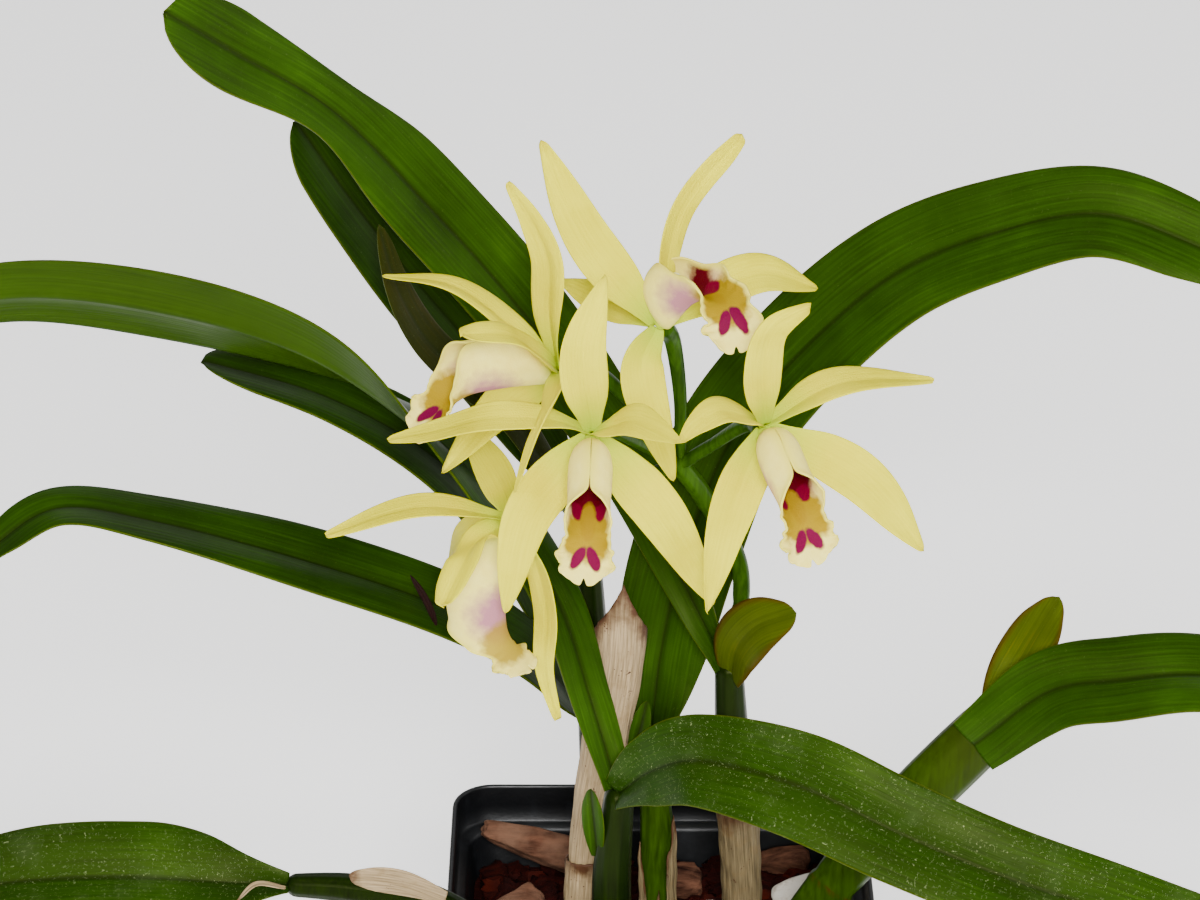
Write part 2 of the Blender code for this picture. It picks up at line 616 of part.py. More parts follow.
def cut_away(body, cutter, solver="EXACT"):
    """Cuts one closed mesh out of another and removes the cutter."""
    cut = body.modifiers.new("cut", "BOOLEAN")
    cut.operation = "DIFFERENCE"
    cut.solver = solver
    cut.object = cutter
    graph = bpy.context.evaluated_depsgraph_get()
    mesh = bpy.data.meshes.new_from_object(body.evaluated_get(graph))
    body.modifiers.clear()
    body.data = mesh
    bpy.data.objects.remove(cutter, do_unlink=True)


def build_soil(soil_brown):
    """Bark medium that fills the pot, its top a little uneven, with a plain hole for each cane."""
    low, high = POT_FLOOR + GAP, SOIL_TOP
    low_half, top_half = (pot_half(height) - POT_WALL - GAP for height in (low, high))
    low_corner, top_corner = POT_BASE_CORNER - POT_WALL - GAP, POT_CORNER - POT_WALL - GAP
    rings = [square_ring(low_half, low_corner, low), square_ring(top_half, top_corner, high)]
    dice = random.Random(5)
    for share, rough in ((0.8, 1), (0.6, 1), (0.4, 1), (0.2, 0)):
        ring = square_ring(top_half * share, top_corner * share, high)
        rings.append([(x, y, z + rough * dice.uniform(-0.9, 1.1)) for x, y, z in ring])
    points = [point for ring in rings for point in ring]
    soil = add_object("bark_soil", points, loft_faces(len(rings), len(rings[0])), soil_brown)
    for route, radii in CANES.values():
        first, second = np.array(route[0], float), np.array(route[1], float)
        hole = [first + unit(first - second) * 1.5, *route[1:]]
        wide = [radius * 1.04 + 0.5 for radius in radii]
        cut_away(soil, tube("hole", hole, wide, CANE_SIDES, soil_brown, 8), "MANIFOLD")


def build_chips(chips, material):
    """Loose pieces, each let down until it rests on the medium."""
    soil = bpy.data.objects["bark_soil"]
    for name, ((x, y), radius, squash, rough, seed, detail) in chips.items():
        height = SOIL_TOP + 12
        step = Vector((0, 0, 1))
        while step.length > SEAT_ERROR:
            chip = ball(name, (x, y, height), radius, material, squash, rough, seed, detail)
            step = step_to(chip, soil)
            if step.length > SEAT_ERROR:
                height -= step.length
                bpy.data.objects.remove(chip, do_unlink=True)


def main():
    for thing in list(bpy.data.objects):
        bpy.data.objects.remove(thing, do_unlink=True)
    leaf_green = paint("leaf_green", (0.05, 0.16, 0.012), 0.35)
    cane_green = paint("cane_green", (0.09, 0.22, 0.02), 0.45)
    bract_green = paint("bract_green", (0.24, 0.28, 0.03), 0.5)
    dry = paint("dry_sheath", (0.58, 0.49, 0.36), 0.8)
    petal = paint("petal_yellow", (0.8, 0.76, 0.36), 0.5)
    lip_white = paint("lip_white", (0.85, 0.75, 0.55), 0.45)
    column_white = paint("column_white", (0.86, 0.82, 0.74), 0.45)
    black = paint("pot_black", (0.012, 0.013, 0.014), 0.4)
    soil_brown = paint("soil_brown", (0.16, 0.08, 0.045), 0.9)
    bark = paint("bark", (0.26, 0.14, 0.09), 0.9)
    stone = paint("stone", (0.68, 0.63, 0.55), 0.8)
    build_pot(black)
    build_soil(soil_brown)
    build_chips(BARK_CHIPS, bark)
    build_chips(STONES, stone)
    build_canes(cane_green, dry)
    build_sheaths(dry)
    build_leaves(leaf_green)
    build_bracts(bract_green, dry)
    build_stalk(cane_green)
    for name, bloom in BLOOMS.items():
        build_bloom(name, bloom, petal, lip_white, column_white)


main()
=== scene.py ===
import math

import bmesh
import bpy
import numpy as np
from mathutils import Matrix, Vector


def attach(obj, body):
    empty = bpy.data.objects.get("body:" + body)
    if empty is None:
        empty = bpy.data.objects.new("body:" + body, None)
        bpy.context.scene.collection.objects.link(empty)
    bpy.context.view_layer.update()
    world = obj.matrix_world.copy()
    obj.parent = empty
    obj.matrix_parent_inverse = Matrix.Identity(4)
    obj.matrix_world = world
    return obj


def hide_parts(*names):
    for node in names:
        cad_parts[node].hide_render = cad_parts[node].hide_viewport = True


# Cattleya orchid in bloom in its square nursery pot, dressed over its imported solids. Metres, +Z up,
# +Y to the back, origin at the centre of the pot's base. Points below are in millimetres.
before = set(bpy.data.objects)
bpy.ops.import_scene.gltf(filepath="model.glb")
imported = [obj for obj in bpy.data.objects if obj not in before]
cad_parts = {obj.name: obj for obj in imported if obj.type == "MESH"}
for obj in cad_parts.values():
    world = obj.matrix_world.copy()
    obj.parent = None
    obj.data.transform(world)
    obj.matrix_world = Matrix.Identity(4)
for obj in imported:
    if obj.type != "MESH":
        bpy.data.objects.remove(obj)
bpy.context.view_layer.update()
MM = 0.001

# Pot. A square nursery pot, injection moulded in black polypropylene, with a turned-out rim band and
# drain slots in its floor. It carries everything else and stands free on its flat base.
POT_HEIGHT = 115.0
RIM_HEIGHT = 13.0
BASE_HALF, SHOULDER_HALF, RIM_HALF = 41.0, 53.5, 56.5
POT_WALL, POT_FLOOR = 1.3, 2.0
RIM_CORNER, BASE_CORNER = 11.0, 8.0
DRAIN_SLOT = (16.0, 3.4)
DRAIN_PLACE = 24.0


def srgb(code):
    """Linear colour of an sRGB hex code: each channel c is ((c + 0.055) / 1.055) ** 2.4."""
    channels = [int(code[k:k + 2], 16) / 255 for k in (1, 3, 5)]
    return (*[((c + 0.055) / 1.055) ** 2.4 for c in channels], 1)


def add(tree, kind, inputs=None, **settings):
    """Adds one shader node with its settings, and gives each input a value or a link."""
    made = tree.nodes.new("ShaderNode" + kind)
    for key, value in settings.items():
        setattr(made, key, value)
    for key, value in (inputs or {}).items():
        if isinstance(value, bpy.types.NodeSocket):
            tree.links.new(value, made.inputs[key])
        else:
            made.inputs[key].default_value = value
    return made


def new_finish(name, constants):
    """Empty material with its tree and shader, and the values that are the same all over it."""
    material = bpy.data.materials.new(name)
    material.use_nodes = True
    shader = material.node_tree.nodes["Principled BSDF"]
    for key, value in constants.items():
        shader.inputs[key].default_value = value
    return material, material.node_tree, shader


def faces_of(rows, columns, closed=False):
    """Quads of a grid of points. A closed one also joins its last column to its first."""
    index = np.arange(rows * columns).reshape(rows, columns)
    if closed:
        index = np.concatenate([index, index[:, :1]], axis=1)
    quads = [index[:-1, :-1], index[1:, :-1], index[1:, 1:], index[:-1, 1:]]
    return np.stack(quads, axis=-1).reshape(-1, 4)


def joined(parts):
    """Several (points, faces, marks) as one, each part's faces counted on from the one before."""
    starts = np.cumsum([0] + [len(points) for points, _, _ in parts[:-1]])
    points = np.concatenate([part[0] for part in parts])
    faces = np.concatenate([part[1] + start for part, start in zip(parts, starts)])
    marks = {key: np.concatenate([part[2][key] for part in parts]) for key in parts[0][2]}
    return points, faces, marks


def add_piece(name, part, material, nodes, crease=None):
    """Adds a smooth closed mesh, its marks as attributes, standing for CAD nodes on the root body.
    Points that coincide, at poles and seams, are merged. Edges over the crease angle stay sharp."""
    points, faces, marks = part
    mesh = bpy.data.meshes.new(name)
    mesh.from_pydata(points * MM, [], faces)
    for key, values in marks.items():
        mark = mesh.attributes.new(key, "FLOAT", "POINT")
        mark.data.foreach_set("value", values.astype(np.float32))
    shape = bmesh.new()
    shape.from_mesh(mesh)
    bmesh.ops.remove_doubles(shape, verts=shape.verts, dist=1e-7)
    shape.to_mesh(mesh)
    shape.free()
    mesh.shade_smooth()
    if crease:
        mesh.set_sharp_from_angle(angle=math.radians(crease))
    mesh.materials.append(material)
    piece = bpy.data.objects.new(name, mesh)
    bpy.context.scene.collection.objects.link(piece)
    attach(piece, "root")
    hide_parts(*nodes)
    return piece


def square_rings(halves, corners, heights, steps=10, straight=6):
    """Rounded squares: an arc of the corner radius about (half - corner) on both axes in each quarter,
    and straight sides between the arcs."""
    half, corner, height = (np.asarray(value, float)[:, None] for value in (halves, corners, heights))
    quarter = np.repeat(np.arange(4), steps + 1)
    angle = (quarter + np.tile(np.linspace(0, 1, steps + 1), 4)) * math.pi / 2
    turned_x, turned_y = np.isin(quarter, (0, 3)) * 2 - 1, np.isin(quarter, (0, 1)) * 2 - 1
    x = (half - corner) * turned_x + corner * np.cos(angle)
    y = (half - corner) * turned_y + corner * np.sin(angle)
    share = np.arange(straight) / straight
    rings = np.stack([x, y, height + 0 * angle], axis=-1)
    sides = [rings[:, start:start + steps] for start in range(0, 4 * (steps + 1), steps + 1)]
    filled = []
    for k, side in enumerate(sides):
        last = rings[:, (k + 1) * (steps + 1) - 1][:, None]
        first = rings[:, ((k + 1) * (steps + 1)) % rings.shape[1]][:, None]
        filled += [side, last + (first - last) * share[None, :, None]]
    return np.concatenate(filled, axis=1)


def black_polypropylene():
    """Polypropylene, injection moulded with a fine texture: a soft sheen, with dust and lime film."""
    material, tree, shader = new_finish("black_polypropylene", {"IOR": 1.49, "Specular IOR Level": 0.4})
    place = add(tree, "TexCoord").outputs["Object"]
    film = add(tree, "TexNoise", {"Vector": place, "Scale": 55, "Detail": 6, "Roughness": 0.7})
    streak = add(tree, "Mapping", {"Vector": place, "Scale": (160, 160, 14)})
    run = add(tree, "TexNoise", {"Vector": streak.outputs[0], "Scale": 1, "Detail": 3})
    share = add(tree, "Math", {0: film.outputs["Fac"], 1: run.outputs["Fac"]}, operation="MULTIPLY")
    dusty = add(tree, "MapRange", {"Value": share.outputs[0], "From Min": 0.27, "From Max": 0.5})
    colour = add(tree, "Mix", {0: dusty.outputs[0], 6: srgb("#08090B"), 7: srgb("#1A1C1F")}, data_type="RGBA")
    tree.links.new(colour.outputs[2], shader.inputs["Base Color"])
    rough = add(tree, "MapRange", {"Value": film.outputs["Fac"], "To Min": 0.3, "To Max": 0.55})
    tree.links.new(rough.outputs[0], shader.inputs["Roughness"])
    grain = add(tree, "TexNoise", {"Vector": place, "Scale": 900, "Detail": 2})
    bump = add(tree, "Bump", {"Height": grain.outputs["Fac"], "Strength": 0.25, "Distance": 0.0002})
    tree.links.new(bump.outputs[0], shader.inputs["Normal"])
    return material


def pot_half(height):
    """Outer half width of the tapered body at a height."""
    return BASE_HALF + (SHOULDER_HALF - BASE_HALF) * height / (POT_HEIGHT - RIM_HEIGHT)


SHOULDER = POT_HEIGHT - RIM_HEIGHT
RIM_INSIDE = RIM_HALF - POT_WALL
# Profile from the middle of the underside, up the outside, over the rim, and down to the inner floor:
# half width, corner radius and height.
POT_PROFILE = [
    (0.01, 0.005, 0), (20, 4, 0), (36, 7, 0), (BASE_HALF - 0.8, BASE_CORNER - 0.8, 0),
    (BASE_HALF - 0.1, BASE_CORNER - 0.2, 0.25), (BASE_HALF + 0.15, BASE_CORNER, 0.9),
    (pot_half(20), 8.6, 20), (pot_half(50), 9.5, 50), (pot_half(80), 10.4, 80),
    (SHOULDER_HALF - 0.25, RIM_CORNER, SHOULDER - 2.5), (SHOULDER_HALF + 0.1, RIM_CORNER, SHOULDER - 0.9),
    (RIM_HALF - 0.9, RIM_CORNER, SHOULDER - 0.35), (RIM_HALF - 0.15, RIM_CORNER, SHOULDER + 0.1),
    (RIM_HALF, RIM_CORNER, SHOULDER + 0.8), (RIM_HALF, RIM_CORNER, SHOULDER + 7),
    (RIM_HALF, RIM_CORNER, POT_HEIGHT - 0.7), (RIM_HALF - 0.15, RIM_CORNER - 0.15, POT_HEIGHT - 0.2),
    (RIM_HALF - 0.65, RIM_CORNER - 0.6, POT_HEIGHT),
    (RIM_INSIDE + 0.15, RIM_CORNER - 1.1, POT_HEIGHT - 0.2),
    (RIM_INSIDE, RIM_CORNER - POT_WALL, POT_HEIGHT - 0.8),
    (RIM_INSIDE, RIM_CORNER - POT_WALL, SHOULDER + 7),
    (RIM_INSIDE, RIM_CORNER - POT_WALL, SHOULDER + POT_WALL + 0.6),
    (RIM_INSIDE - 0.7, RIM_CORNER - POT_WALL, SHOULDER + POT_WALL),
    (SHOULDER_HALF - POT_WALL + 0.5, RIM_CORNER - POT_WALL, SHOULDER + 0.9),
    (SHOULDER_HALF - POT_WALL, RIM_CORNER - POT_WALL, SHOULDER - 0.4),
    (pot_half(60) - POT_WALL, 8.4, 60), (pot_half(30) - POT_WALL, 7.6, 30),
    (pot_half(3) - POT_WALL, BASE_CORNER - POT_WALL, POT_FLOOR + 1),
    (pot_half(2) - POT_WALL - 0.9, BASE_CORNER - POT_WALL, POT_FLOOR), (20, 4, POT_FLOOR),
    (0.01, 0.005, POT_FLOOR),
]
rings = square_rings(*zip(*POT_PROFILE))
rings[0], rings[-1] = rings[0].mean(axis=0), rings[-1].mean(axis=0)
pot_faces = faces_of(*rings.shape[:2], closed=True)[:, ::-1]
pot = add_piece("pot_moulding", (rings.reshape(-1, 3), pot_faces, {}), black_polypropylene(),
                ["pot"])
for x in (-DRAIN_PLACE, DRAIN_PLACE):
    for y in (-DRAIN_PLACE, DRAIN_PLACE):
        bpy.ops.mesh.primitive_cube_add(size=1)
        cutter = bpy.context.object
        cutter.data.transform(Matrix.LocRotScale(
            (x * MM, y * MM, POT_FLOOR / 2 * MM), None,
            (DRAIN_SLOT[0] * MM, DRAIN_SLOT[1] * MM, 4 * POT_FLOOR * MM)))
        cut = pot.modifiers.new("slot", "BOOLEAN")
        cut.operation, cut.object = "DIFFERENCE", cutter
        pot.data = bpy.data.meshes.new_from_object(pot.evaluated_get(bpy.context.evaluated_depsgraph_get()))
        pot.modifiers.clear()
        bpy.data.objects.remove(cutter)

# Bark medium. Fir bark, graded and packed round the roots, with larger chips and two pale stones on
# top. The pieces lie loose: each is a rounded block, broken with the grain, dusty on its faces.
SOIL_TOP = 95.0
SOIL_HALF = pot_half(SOIL_TOP) - POT_WALL - 0.6
# Loose chips: how far apart, how far out of line, and how far their middles stay from the pot's wall.
CHIP_SPACING = 5.0
CHIP_SHIFT = 2.4
CHIP_MARGIN = 5.5


def block_template(steps):
    """Unit cube cut into steps by steps squares a face, as points and quads."""
    shape = bmesh.new()
    bmesh.ops.create_cube(shape, size=2)
    bmesh.ops.subdivide_edges(shape, edges=shape.edges, cuts=steps - 1, use_grid_fill=True)
    points = np.array([vertex.co for vertex in shape.verts])
    faces = np.array([[vertex.index for vertex in face.verts] for face in shape.faces])
    shape.free()
    return points, faces


def chips(places, sizes, turns, tilts, dice, steps=3, rough=0.22, taper=0.0):
    """Broken blocks: each unit cube's point p becomes p / |p|^0.45 with random dents, narrowed to one
    end by the taper, stretched to its size, tilted, turned about +Z and put in its place."""
    unit_points, unit_faces = block_template(steps)
    rounded = unit_points / np.linalg.norm(unit_points, axis=1, keepdims=True) ** 0.45
    count, corners = len(places), len(rounded)
    dents = 1 + rough * dice.uniform(-1, 1, (count, corners, 1))
    points = rounded[None] * dents * np.asarray(sizes)[:, None, :]
    points[..., 1:] *= 1 - taper * (1 - rounded[None, :, :1]) / 2
    for angles, (a, b) in ((tilts[:, 0], (1, 2)), (tilts[:, 1], (0, 2)), (turns, (0, 1))):
        cos, sin = np.cos(angles)[:, None], np.sin(angles)[:, None]
        first, second = points[..., a].copy(), points[..., b].copy()
        points[..., a], points[..., b] = cos * first - sin * second, sin * first + cos * second
    points = points + np.asarray(places)[:, None, :]
    faces = unit_faces[None] + np.arange(count)[:, None, None] * corners
    marks = {"tint": np.repeat(dice.uniform(0, 1, count), corners)}
    return points.reshape(-1, 3), faces.reshape(-1, 4), marks


def fir_bark(name, deep, mid, pale):
    """Fir bark, broken and washed: matte, layered along its grain, paler in patches on some pieces."""
    material, tree, shader = new_finish(name, {"Roughness": 0.85, "Specular IOR Level": 0.08})
    place = add(tree, "TexCoord").outputs["Object"]
    tint = add(tree, "Attribute", attribute_name="tint")
    stretched = add(tree, "Mapping", {"Vector": place, "Rotation": (0, 0, 0.3), "Scale": (90, 420, 420)})
    layers = add(tree, "TexNoise", {"Vector": stretched.outputs[0], "Scale": 1, "Detail": 5,
                                    "Roughness": 0.65})
    patch = add(tree, "TexNoise", {"Vector": place, "Scale": 130, "Detail": 4})
    tone = add(tree, "MapRange", {"Value": layers.outputs["Fac"], "From Min": 0.3, "From Max": 0.7})
    bed = add(tree, "Mix", {0: tone.outputs[0], 6: srgb(deep), 7: srgb(mid)}, data_type="RGBA")
    dry = add(tree, "Math", {0: patch.outputs["Fac"], 1: tint.outputs["Fac"]}, operation="MULTIPLY")
    ashy = add(tree, "MapRange", {"Value": dry.outputs[0], "From Min": 0.28, "From Max": 0.55, "To Max": 0.6})
    colour = add(tree, "Mix", {0: ashy.outputs[0], 6: bed.outputs[2], 7: srgb(pale)}, data_type="RGBA")
    tree.links.new(colour.outputs[2], shader.inputs["Base Color"])
    bump = add(tree, "Bump", {"Height": layers.outputs["Fac"], "Strength": 0.9, "Distance": 0.0008})
    tree.links.new(bump.outputs[0], shader.inputs["Normal"])
    return material


def pale_stone():
    """Limestone chip and expanded clay grit: matte, chalky, with fine pits and brown dust."""
    material, tree, shader = new_finish("pale_stone", {"Roughness": 0.85, "Specular IOR Level": 0.3})
    place = add(tree, "TexCoord").outputs["Object"]
    dust = add(tree, "TexNoise", {"Vector": place, "Scale": 160, "Detail": 6, "Roughness": 0.7})
    stain = add(tree, "MapRange", {"Value": dust.outputs["Fac"], "From Min": 0.5, "From Max": 0.72})
    colour = add(tree, "Mix", {0: stain.outputs[0], 6: srgb("#DDD5C8"), 7: srgb("#A58F78")}, data_type="RGBA")
    tree.links.new(colour.outputs[2], shader.inputs["Base Color"])
    pits = add(tree, "TexNoise", {"Vector": place, "Scale": 700, "Detail": 4})
    bump = add(tree, "Bump", {"Height": pits.outputs["Fac"], "Strength": 0.5, "Distance": 0.0004})
    tree.links.new(bump.outputs[0], shader.inputs["Normal"])
    return material


dice = np.random.default_rng(11)
across = np.arange(-SOIL_HALF + 6, SOIL_HALF - 5, CHIP_SPACING)
x, y = (grid.ravel() for grid in np.meshgrid(across, across))
count = len(x)
places = np.stack([x + dice.uniform(-CHIP_SHIFT, CHIP_SHIFT, count),
                   y + dice.uniform(-CHIP_SHIFT, CHIP_SHIFT, count),
                   dice.uniform(SOIL_TOP - 4.0, SOIL_TOP + 0.5, count)], axis=1)
places[:, :2] = np.clip(places[:, :2], -SOIL_HALF + CHIP_MARGIN, SOIL_HALF - CHIP_MARGIN)
sizes = dice.uniform((2.8, 1.9, 1.2), (5.6, 3.6, 2.6), (count, 3))
loose = chips(places, sizes, dice.uniform(0, math.pi, count), dice.uniform(-0.6, 0.6, (count, 2)), dice)
fill_profile = [(0.01, 0.005, 2.4), (pot_half(2.4) - 1.8, 6.2, 2.4), (SOIL_HALF, 9.2, SOIL_TOP - 4),
                (0.01, 0.005, SOIL_TOP - 3)]
fill = square_rings(*zip(*fill_profile))
fill_points = fill.reshape(-1, 3)
filler = (fill_points, faces_of(*fill.shape[:2], closed=True)[:, ::-1], {"tint": np.zeros(len(fill_points))})
bed_bark = fir_bark("fir_bark", "#120200", "#2C0700", "#4A1402")
add_piece("bark_bed", joined([loose, filler]), bed_bark, ["bark_soil"], crease=38)

# Chips and stones that show one by one: place, half lengths, turn, tilt and how pointed one end is.
LARGE_CHIPS = {
    "chip_back": ((-35.5, 43, 104.4), (14.5, 6.0, 5.8), -0.1, (0.8, -0.3), 0.55),
    "chip_brown": ((-39, 22, 97.5), (8.5, 5.0, 3.0), 0.6, (0.3, 0.1), 0.3),
    "chip_middle": ((5, 34, 98), (7.0, 6.0, 3.6), 0.2, (0.2, -0.1), 0.2),
    "chip_right": ((34, 44, 98), (8.0, 4.2, 3.4), -0.2, (0.2, 0.2), 0.3),
}
STONES = {
    "pebble": ((14, 23, 97), (1.9, 1.7, 1.5), 0.0, (0, 0), 0.0),
    "stone_flat": ((40, 26, 98.6), (9.4, 7.6, 3.2), 0.3, (0.1, 0.05), 0.2),
}
chip_bark = fir_bark("dry_fir_bark", "#1C0A04", "#6A4634", "#7E5E4A")
stone = pale_stone()
for group, finish, slot, rough in ((LARGE_CHIPS, chip_bark, "bark", 0.13), (STONES, stone, "stone", 0.07)):
    for name, (place, size, turn, tilt, taper) in group.items():
        part = chips([place], [size], np.array([turn]), np.array([tilt], float), dice, steps=6, rough=rough,
                     taper=taper)
        piece = add_piece(name + "_block", part, finish, [name])
        smooth = piece.modifiers.new("worn", "SUBSURF")
        smooth.levels = smooth.render_levels = 2

# Canes. The orchid's green pseudobulbs, each grown as jointed lengths with a scar ring where an old
# sheath sat, and shallow grooves along them. They stand in the medium and carry the leaves.

# Each cane: its line from the foot up, radii at even places along it, and the places of its rings.
CANES = {
    "cane_front": ([(-14, -22, 80), (-13, -23, 110), (-13, -24, 140), (-11, -25, 167)],
                   (4.6, 5.0, 4.9, 3.6), (0.3,)),
    "cane_front_second": ([(0, 8, 80), (-1, 8, 110), (-1, 10, 132), (-3, 13, 157)],
                          (4.2, 4.6, 4.3, 3.2), (0.35, 0.9)),
    "cane_middle": ([(23, 9, 80), (22, 9, 109), (20, 8, 138), (18, 6, 167), (17, 5, 186)],
                    (3.8, 4.1, 4.5, 4.4, 3.5), (0.5,)),
    "cane_right": ([(25, -6, 80), (33, -5, 103), (48, -2, 126), (75, 0, 158), (88, -1, 174)],
                   (5.0, 5.8, 6.6, 7.8, 7.6), (0.4, 0.96)),
    "cane_left": ([(-25, -26, 80), (-34, -20, 106), (-58, -12, 122), (-81, -9, 125), (-98, -8, 125.5)],
                  (3.8, 4.3, 4.3, 4.2, 2.9), (0.35,)),
    "cane_back": ([(-15, 21, 80), (-15, 21, 110), (-15, 22, 135), (-15, 22, 156)],
                  (4.2, 4.6, 4.4, 3.0), (0.35, 0.9)),
    "cane_far_back": ([(-17, 41, 80), (-17, 41, 120), (-18, 41, 165), (-20, 43, 208)],
                      (3.8, 4.3, 4.3, 3.1), (0.3, 0.62, 0.92)),
}


def unit(vectors):
    """Each vector divided by its length."""
    return vectors / np.linalg.norm(vectors, axis=-1, keepdims=True)


def spline(values, place):
    """Catmull-Rom curve through evenly spaced values, read at places from 0 to 1."""
    values = np.asarray(values, float)
    if len(values) == 1:
        return np.repeat(values, len(place), axis=0)
    knots = np.concatenate([[2 * values[0] - values[1]], values, [2 * values[-1] - values[-2]]])
    spot = np.clip(np.asarray(place) * (len(values) - 1), 0, len(values) - 1 - 1e-9)
    first = spot.astype(int)
    part = spot - first
    if values.ndim > 1:
        part = part[..., None]
    a, b, c, d = (knots[first + k] for k in range(4))
    return b + 0.5 * part * (c - a + part * (2 * a - 5 * b + 4 * c - d + part * (3 * (b - c) + d - a)))


def line_through(points, rows):
    """Smooth line through the points, cut into rows at equal lengths, and its length."""
    fine = spline(points, np.linspace(0, 1, 900))
    run = np.concatenate([[0], np.cumsum(np.linalg.norm(np.diff(fine, axis=0), axis=1))])
    want = np.linspace(0, run[-1], rows)
    return np.stack([np.interp(want, run, fine[:, k]) for k in range(3)], axis=1), run[-1]


def read_rows(place, *lines):
    """Each line read at places from 0 to 1, the rows on both sides of a place weighted by nearness."""
    spot = np.clip(place, 0, 1) * (len(lines[0]) - 1)
    low = np.minimum(spot.astype(int), len(lines[0]) - 2)
    part = (spot - low)[..., None]
    return (line[low] * (1 - part) + line[low + 1] * part for line in lines)


def frame_along(line, faces):
    """Side and face directions along a line, the face as near as it can be to the ones asked for."""
    tangent = unit(np.gradient(line, axis=0))
    face = spline(faces, np.linspace(0, 1, len(line)))
    face = unit(face - (face * tangent).sum(axis=1, keepdims=True) * tangent)
    return np.cross(tangent, face), face


# The side of a stem that its face direction looks to, and that a flattened one is flat on.
STEM_FACE = (0.13, -0.9, 0.41)


def stem(route, radii, rings=(), rows=90, sides=32, ridges=0, flat=1.0):
    """Stem: line(v) + r(v, angle) (cos(angle) side + flat sin(angle) face). r swells by a narrow bell at
    each ring and dips past it, has ridges round it, and shrinks to nothing at both ends along a quarter
    circle."""
    line, length = line_through(route, rows)
    side, face = frame_along(line, [STEM_FACE])
    place = np.linspace(0, 1, rows)
    run = place * length
    radius = spline(radii, place)
    for ring in rings:
        radius = radius + 0.5 * np.exp(-(((place - ring) * length / 0.9) ** 2))
        radius = radius - 0.25 * np.exp(-(((place - ring) * length - 2.2) / 1.4) ** 2)
    cap = np.minimum(run, length - run) / radii[-1]
    radius = radius * np.sqrt(np.clip(1 - (1 - np.clip(cap, 0, 1)) ** 2, 0, 1))
    angle = np.linspace(0, math.tau, sides, endpoint=False)
    groove = 1 + 0.035 * np.cos(ridges * angle)[None, :, None] * (ridges > 0)
    radius = radius[:, None, None] * groove
    grid = line[:, None] + radius * (np.cos(angle)[None, :, None] * side[:, None]
                                     + flat * np.sin(angle)[None, :, None] * face[:, None])
    near_ring = np.zeros(rows)
    for ring in rings:
        near_ring = np.maximum(near_ring, np.exp(-(((place - ring) * length / 1.1) ** 2)))
    marks = {"along": np.repeat(place, sides), "along_mm": np.repeat(run, sides),
             "scar": np.repeat(near_ring, sides), "round": np.tile(np.cos(angle), rows)}
    return grid.reshape(-1, 3), faces_of(rows, sides, closed=True), marks


def cane_skin(name, deep, bright, scar_colour, flush=None):
    """Living green skin with a thin wax: satin, streaked along the stem, brown and dry at the scars, and
    flushed with another colour towards the top where one is given."""
    material, tree, shader = new_finish(name, {"Roughness": 0.36, "Specular IOR Level": 0.1,
                                               "Specular Tint": srgb("#D8E08A")})
    place = add(tree, "TexCoord").outputs["Object"]
    long_way = add(tree, "Mapping", {"Vector": place, "Scale": (900, 900, 40)})
    streaks = add(tree, "TexNoise", {"Vector": long_way.outputs[0], "Scale": 1, "Detail": 3})
    cloud = add(tree, "TexNoise", {"Vector": place, "Scale": 60, "Detail": 3})
    mixed = add(tree, "Math", {0: streaks.outputs["Fac"], 1: cloud.outputs["Fac"]}, operation="ADD")
    tone = add(tree, "MapRange", {"Value": mixed.outputs[0], "From Min": 0.75, "From Max": 1.25})
    green = add(tree, "Mix", {0: tone.outputs[0], 6: srgb(deep), 7: srgb(bright)}, data_type="RGBA")
    scar = add(tree, "Attribute", attribute_name="scar")
    edge = add(tree, "Math", {0: scar.outputs["Fac"], 1: streaks.outputs["Fac"]}, operation="MULTIPLY")
    dry = add(tree, "MapRange", {"Value": edge.outputs[0], "From Min": 0.28, "From Max": 0.6})
    colour = add(tree, "Mix", {0: dry.outputs[0], 6: green.outputs[2], 7: srgb(scar_colour)},
                 data_type="RGBA")
    if flush:
        along = add(tree, "Attribute", attribute_name="along").outputs["Fac"]
        top = add(tree, "MapRange", {"Value": along, "From Min": 0.6, "From Max": 0.95, "To Max": 0.8})
        colour = add(tree, "Mix", {0: top.outputs[0], 6: colour.outputs[2], 7: srgb(flush)},
                     data_type="RGBA")
    tree.links.new(colour.outputs[2], shader.inputs["Base Color"])
    bump = add(tree, "Bump", {"Height": streaks.outputs["Fac"], "Strength": 0.3, "Distance": 0.0004})
    tree.links.new(bump.outputs[0], shader.inputs["Normal"])
    return material


cane_green = cane_skin("cane_skin", "#081200", "#122101", "#6E5A28")
flushed_green = cane_skin("flushed_cane_skin", "#1A2C01", "#2C4602", "#3E2208", flush="#28300A")
young_green = cane_skin("young_cane_skin", "#182A01", "#2E4A03", "#7A7038")
OTHER_CANE_SKINS = {"cane_right": flushed_green, "cane_front_second": young_green}
for name, (route, radii, scars) in CANES.items():
    flat = 0.5 if name == "cane_right" else 1.0
    skin = OTHER_CANE_SKINS.get(name, cane_green)
    add_piece(name + "_stem", stem(route, radii, scars, ridges=9, flat=flat), skin, [name])

# Dry sheaths. Old bracts dried to thin paper round the canes, beige with brown specks, split and
# ragged at the top. One cane is wrapped all the way up and its sheath ends in a torn brown point.

# Half the thickness of a sheath, with its fibres.
PAPER_HALF = 0.22
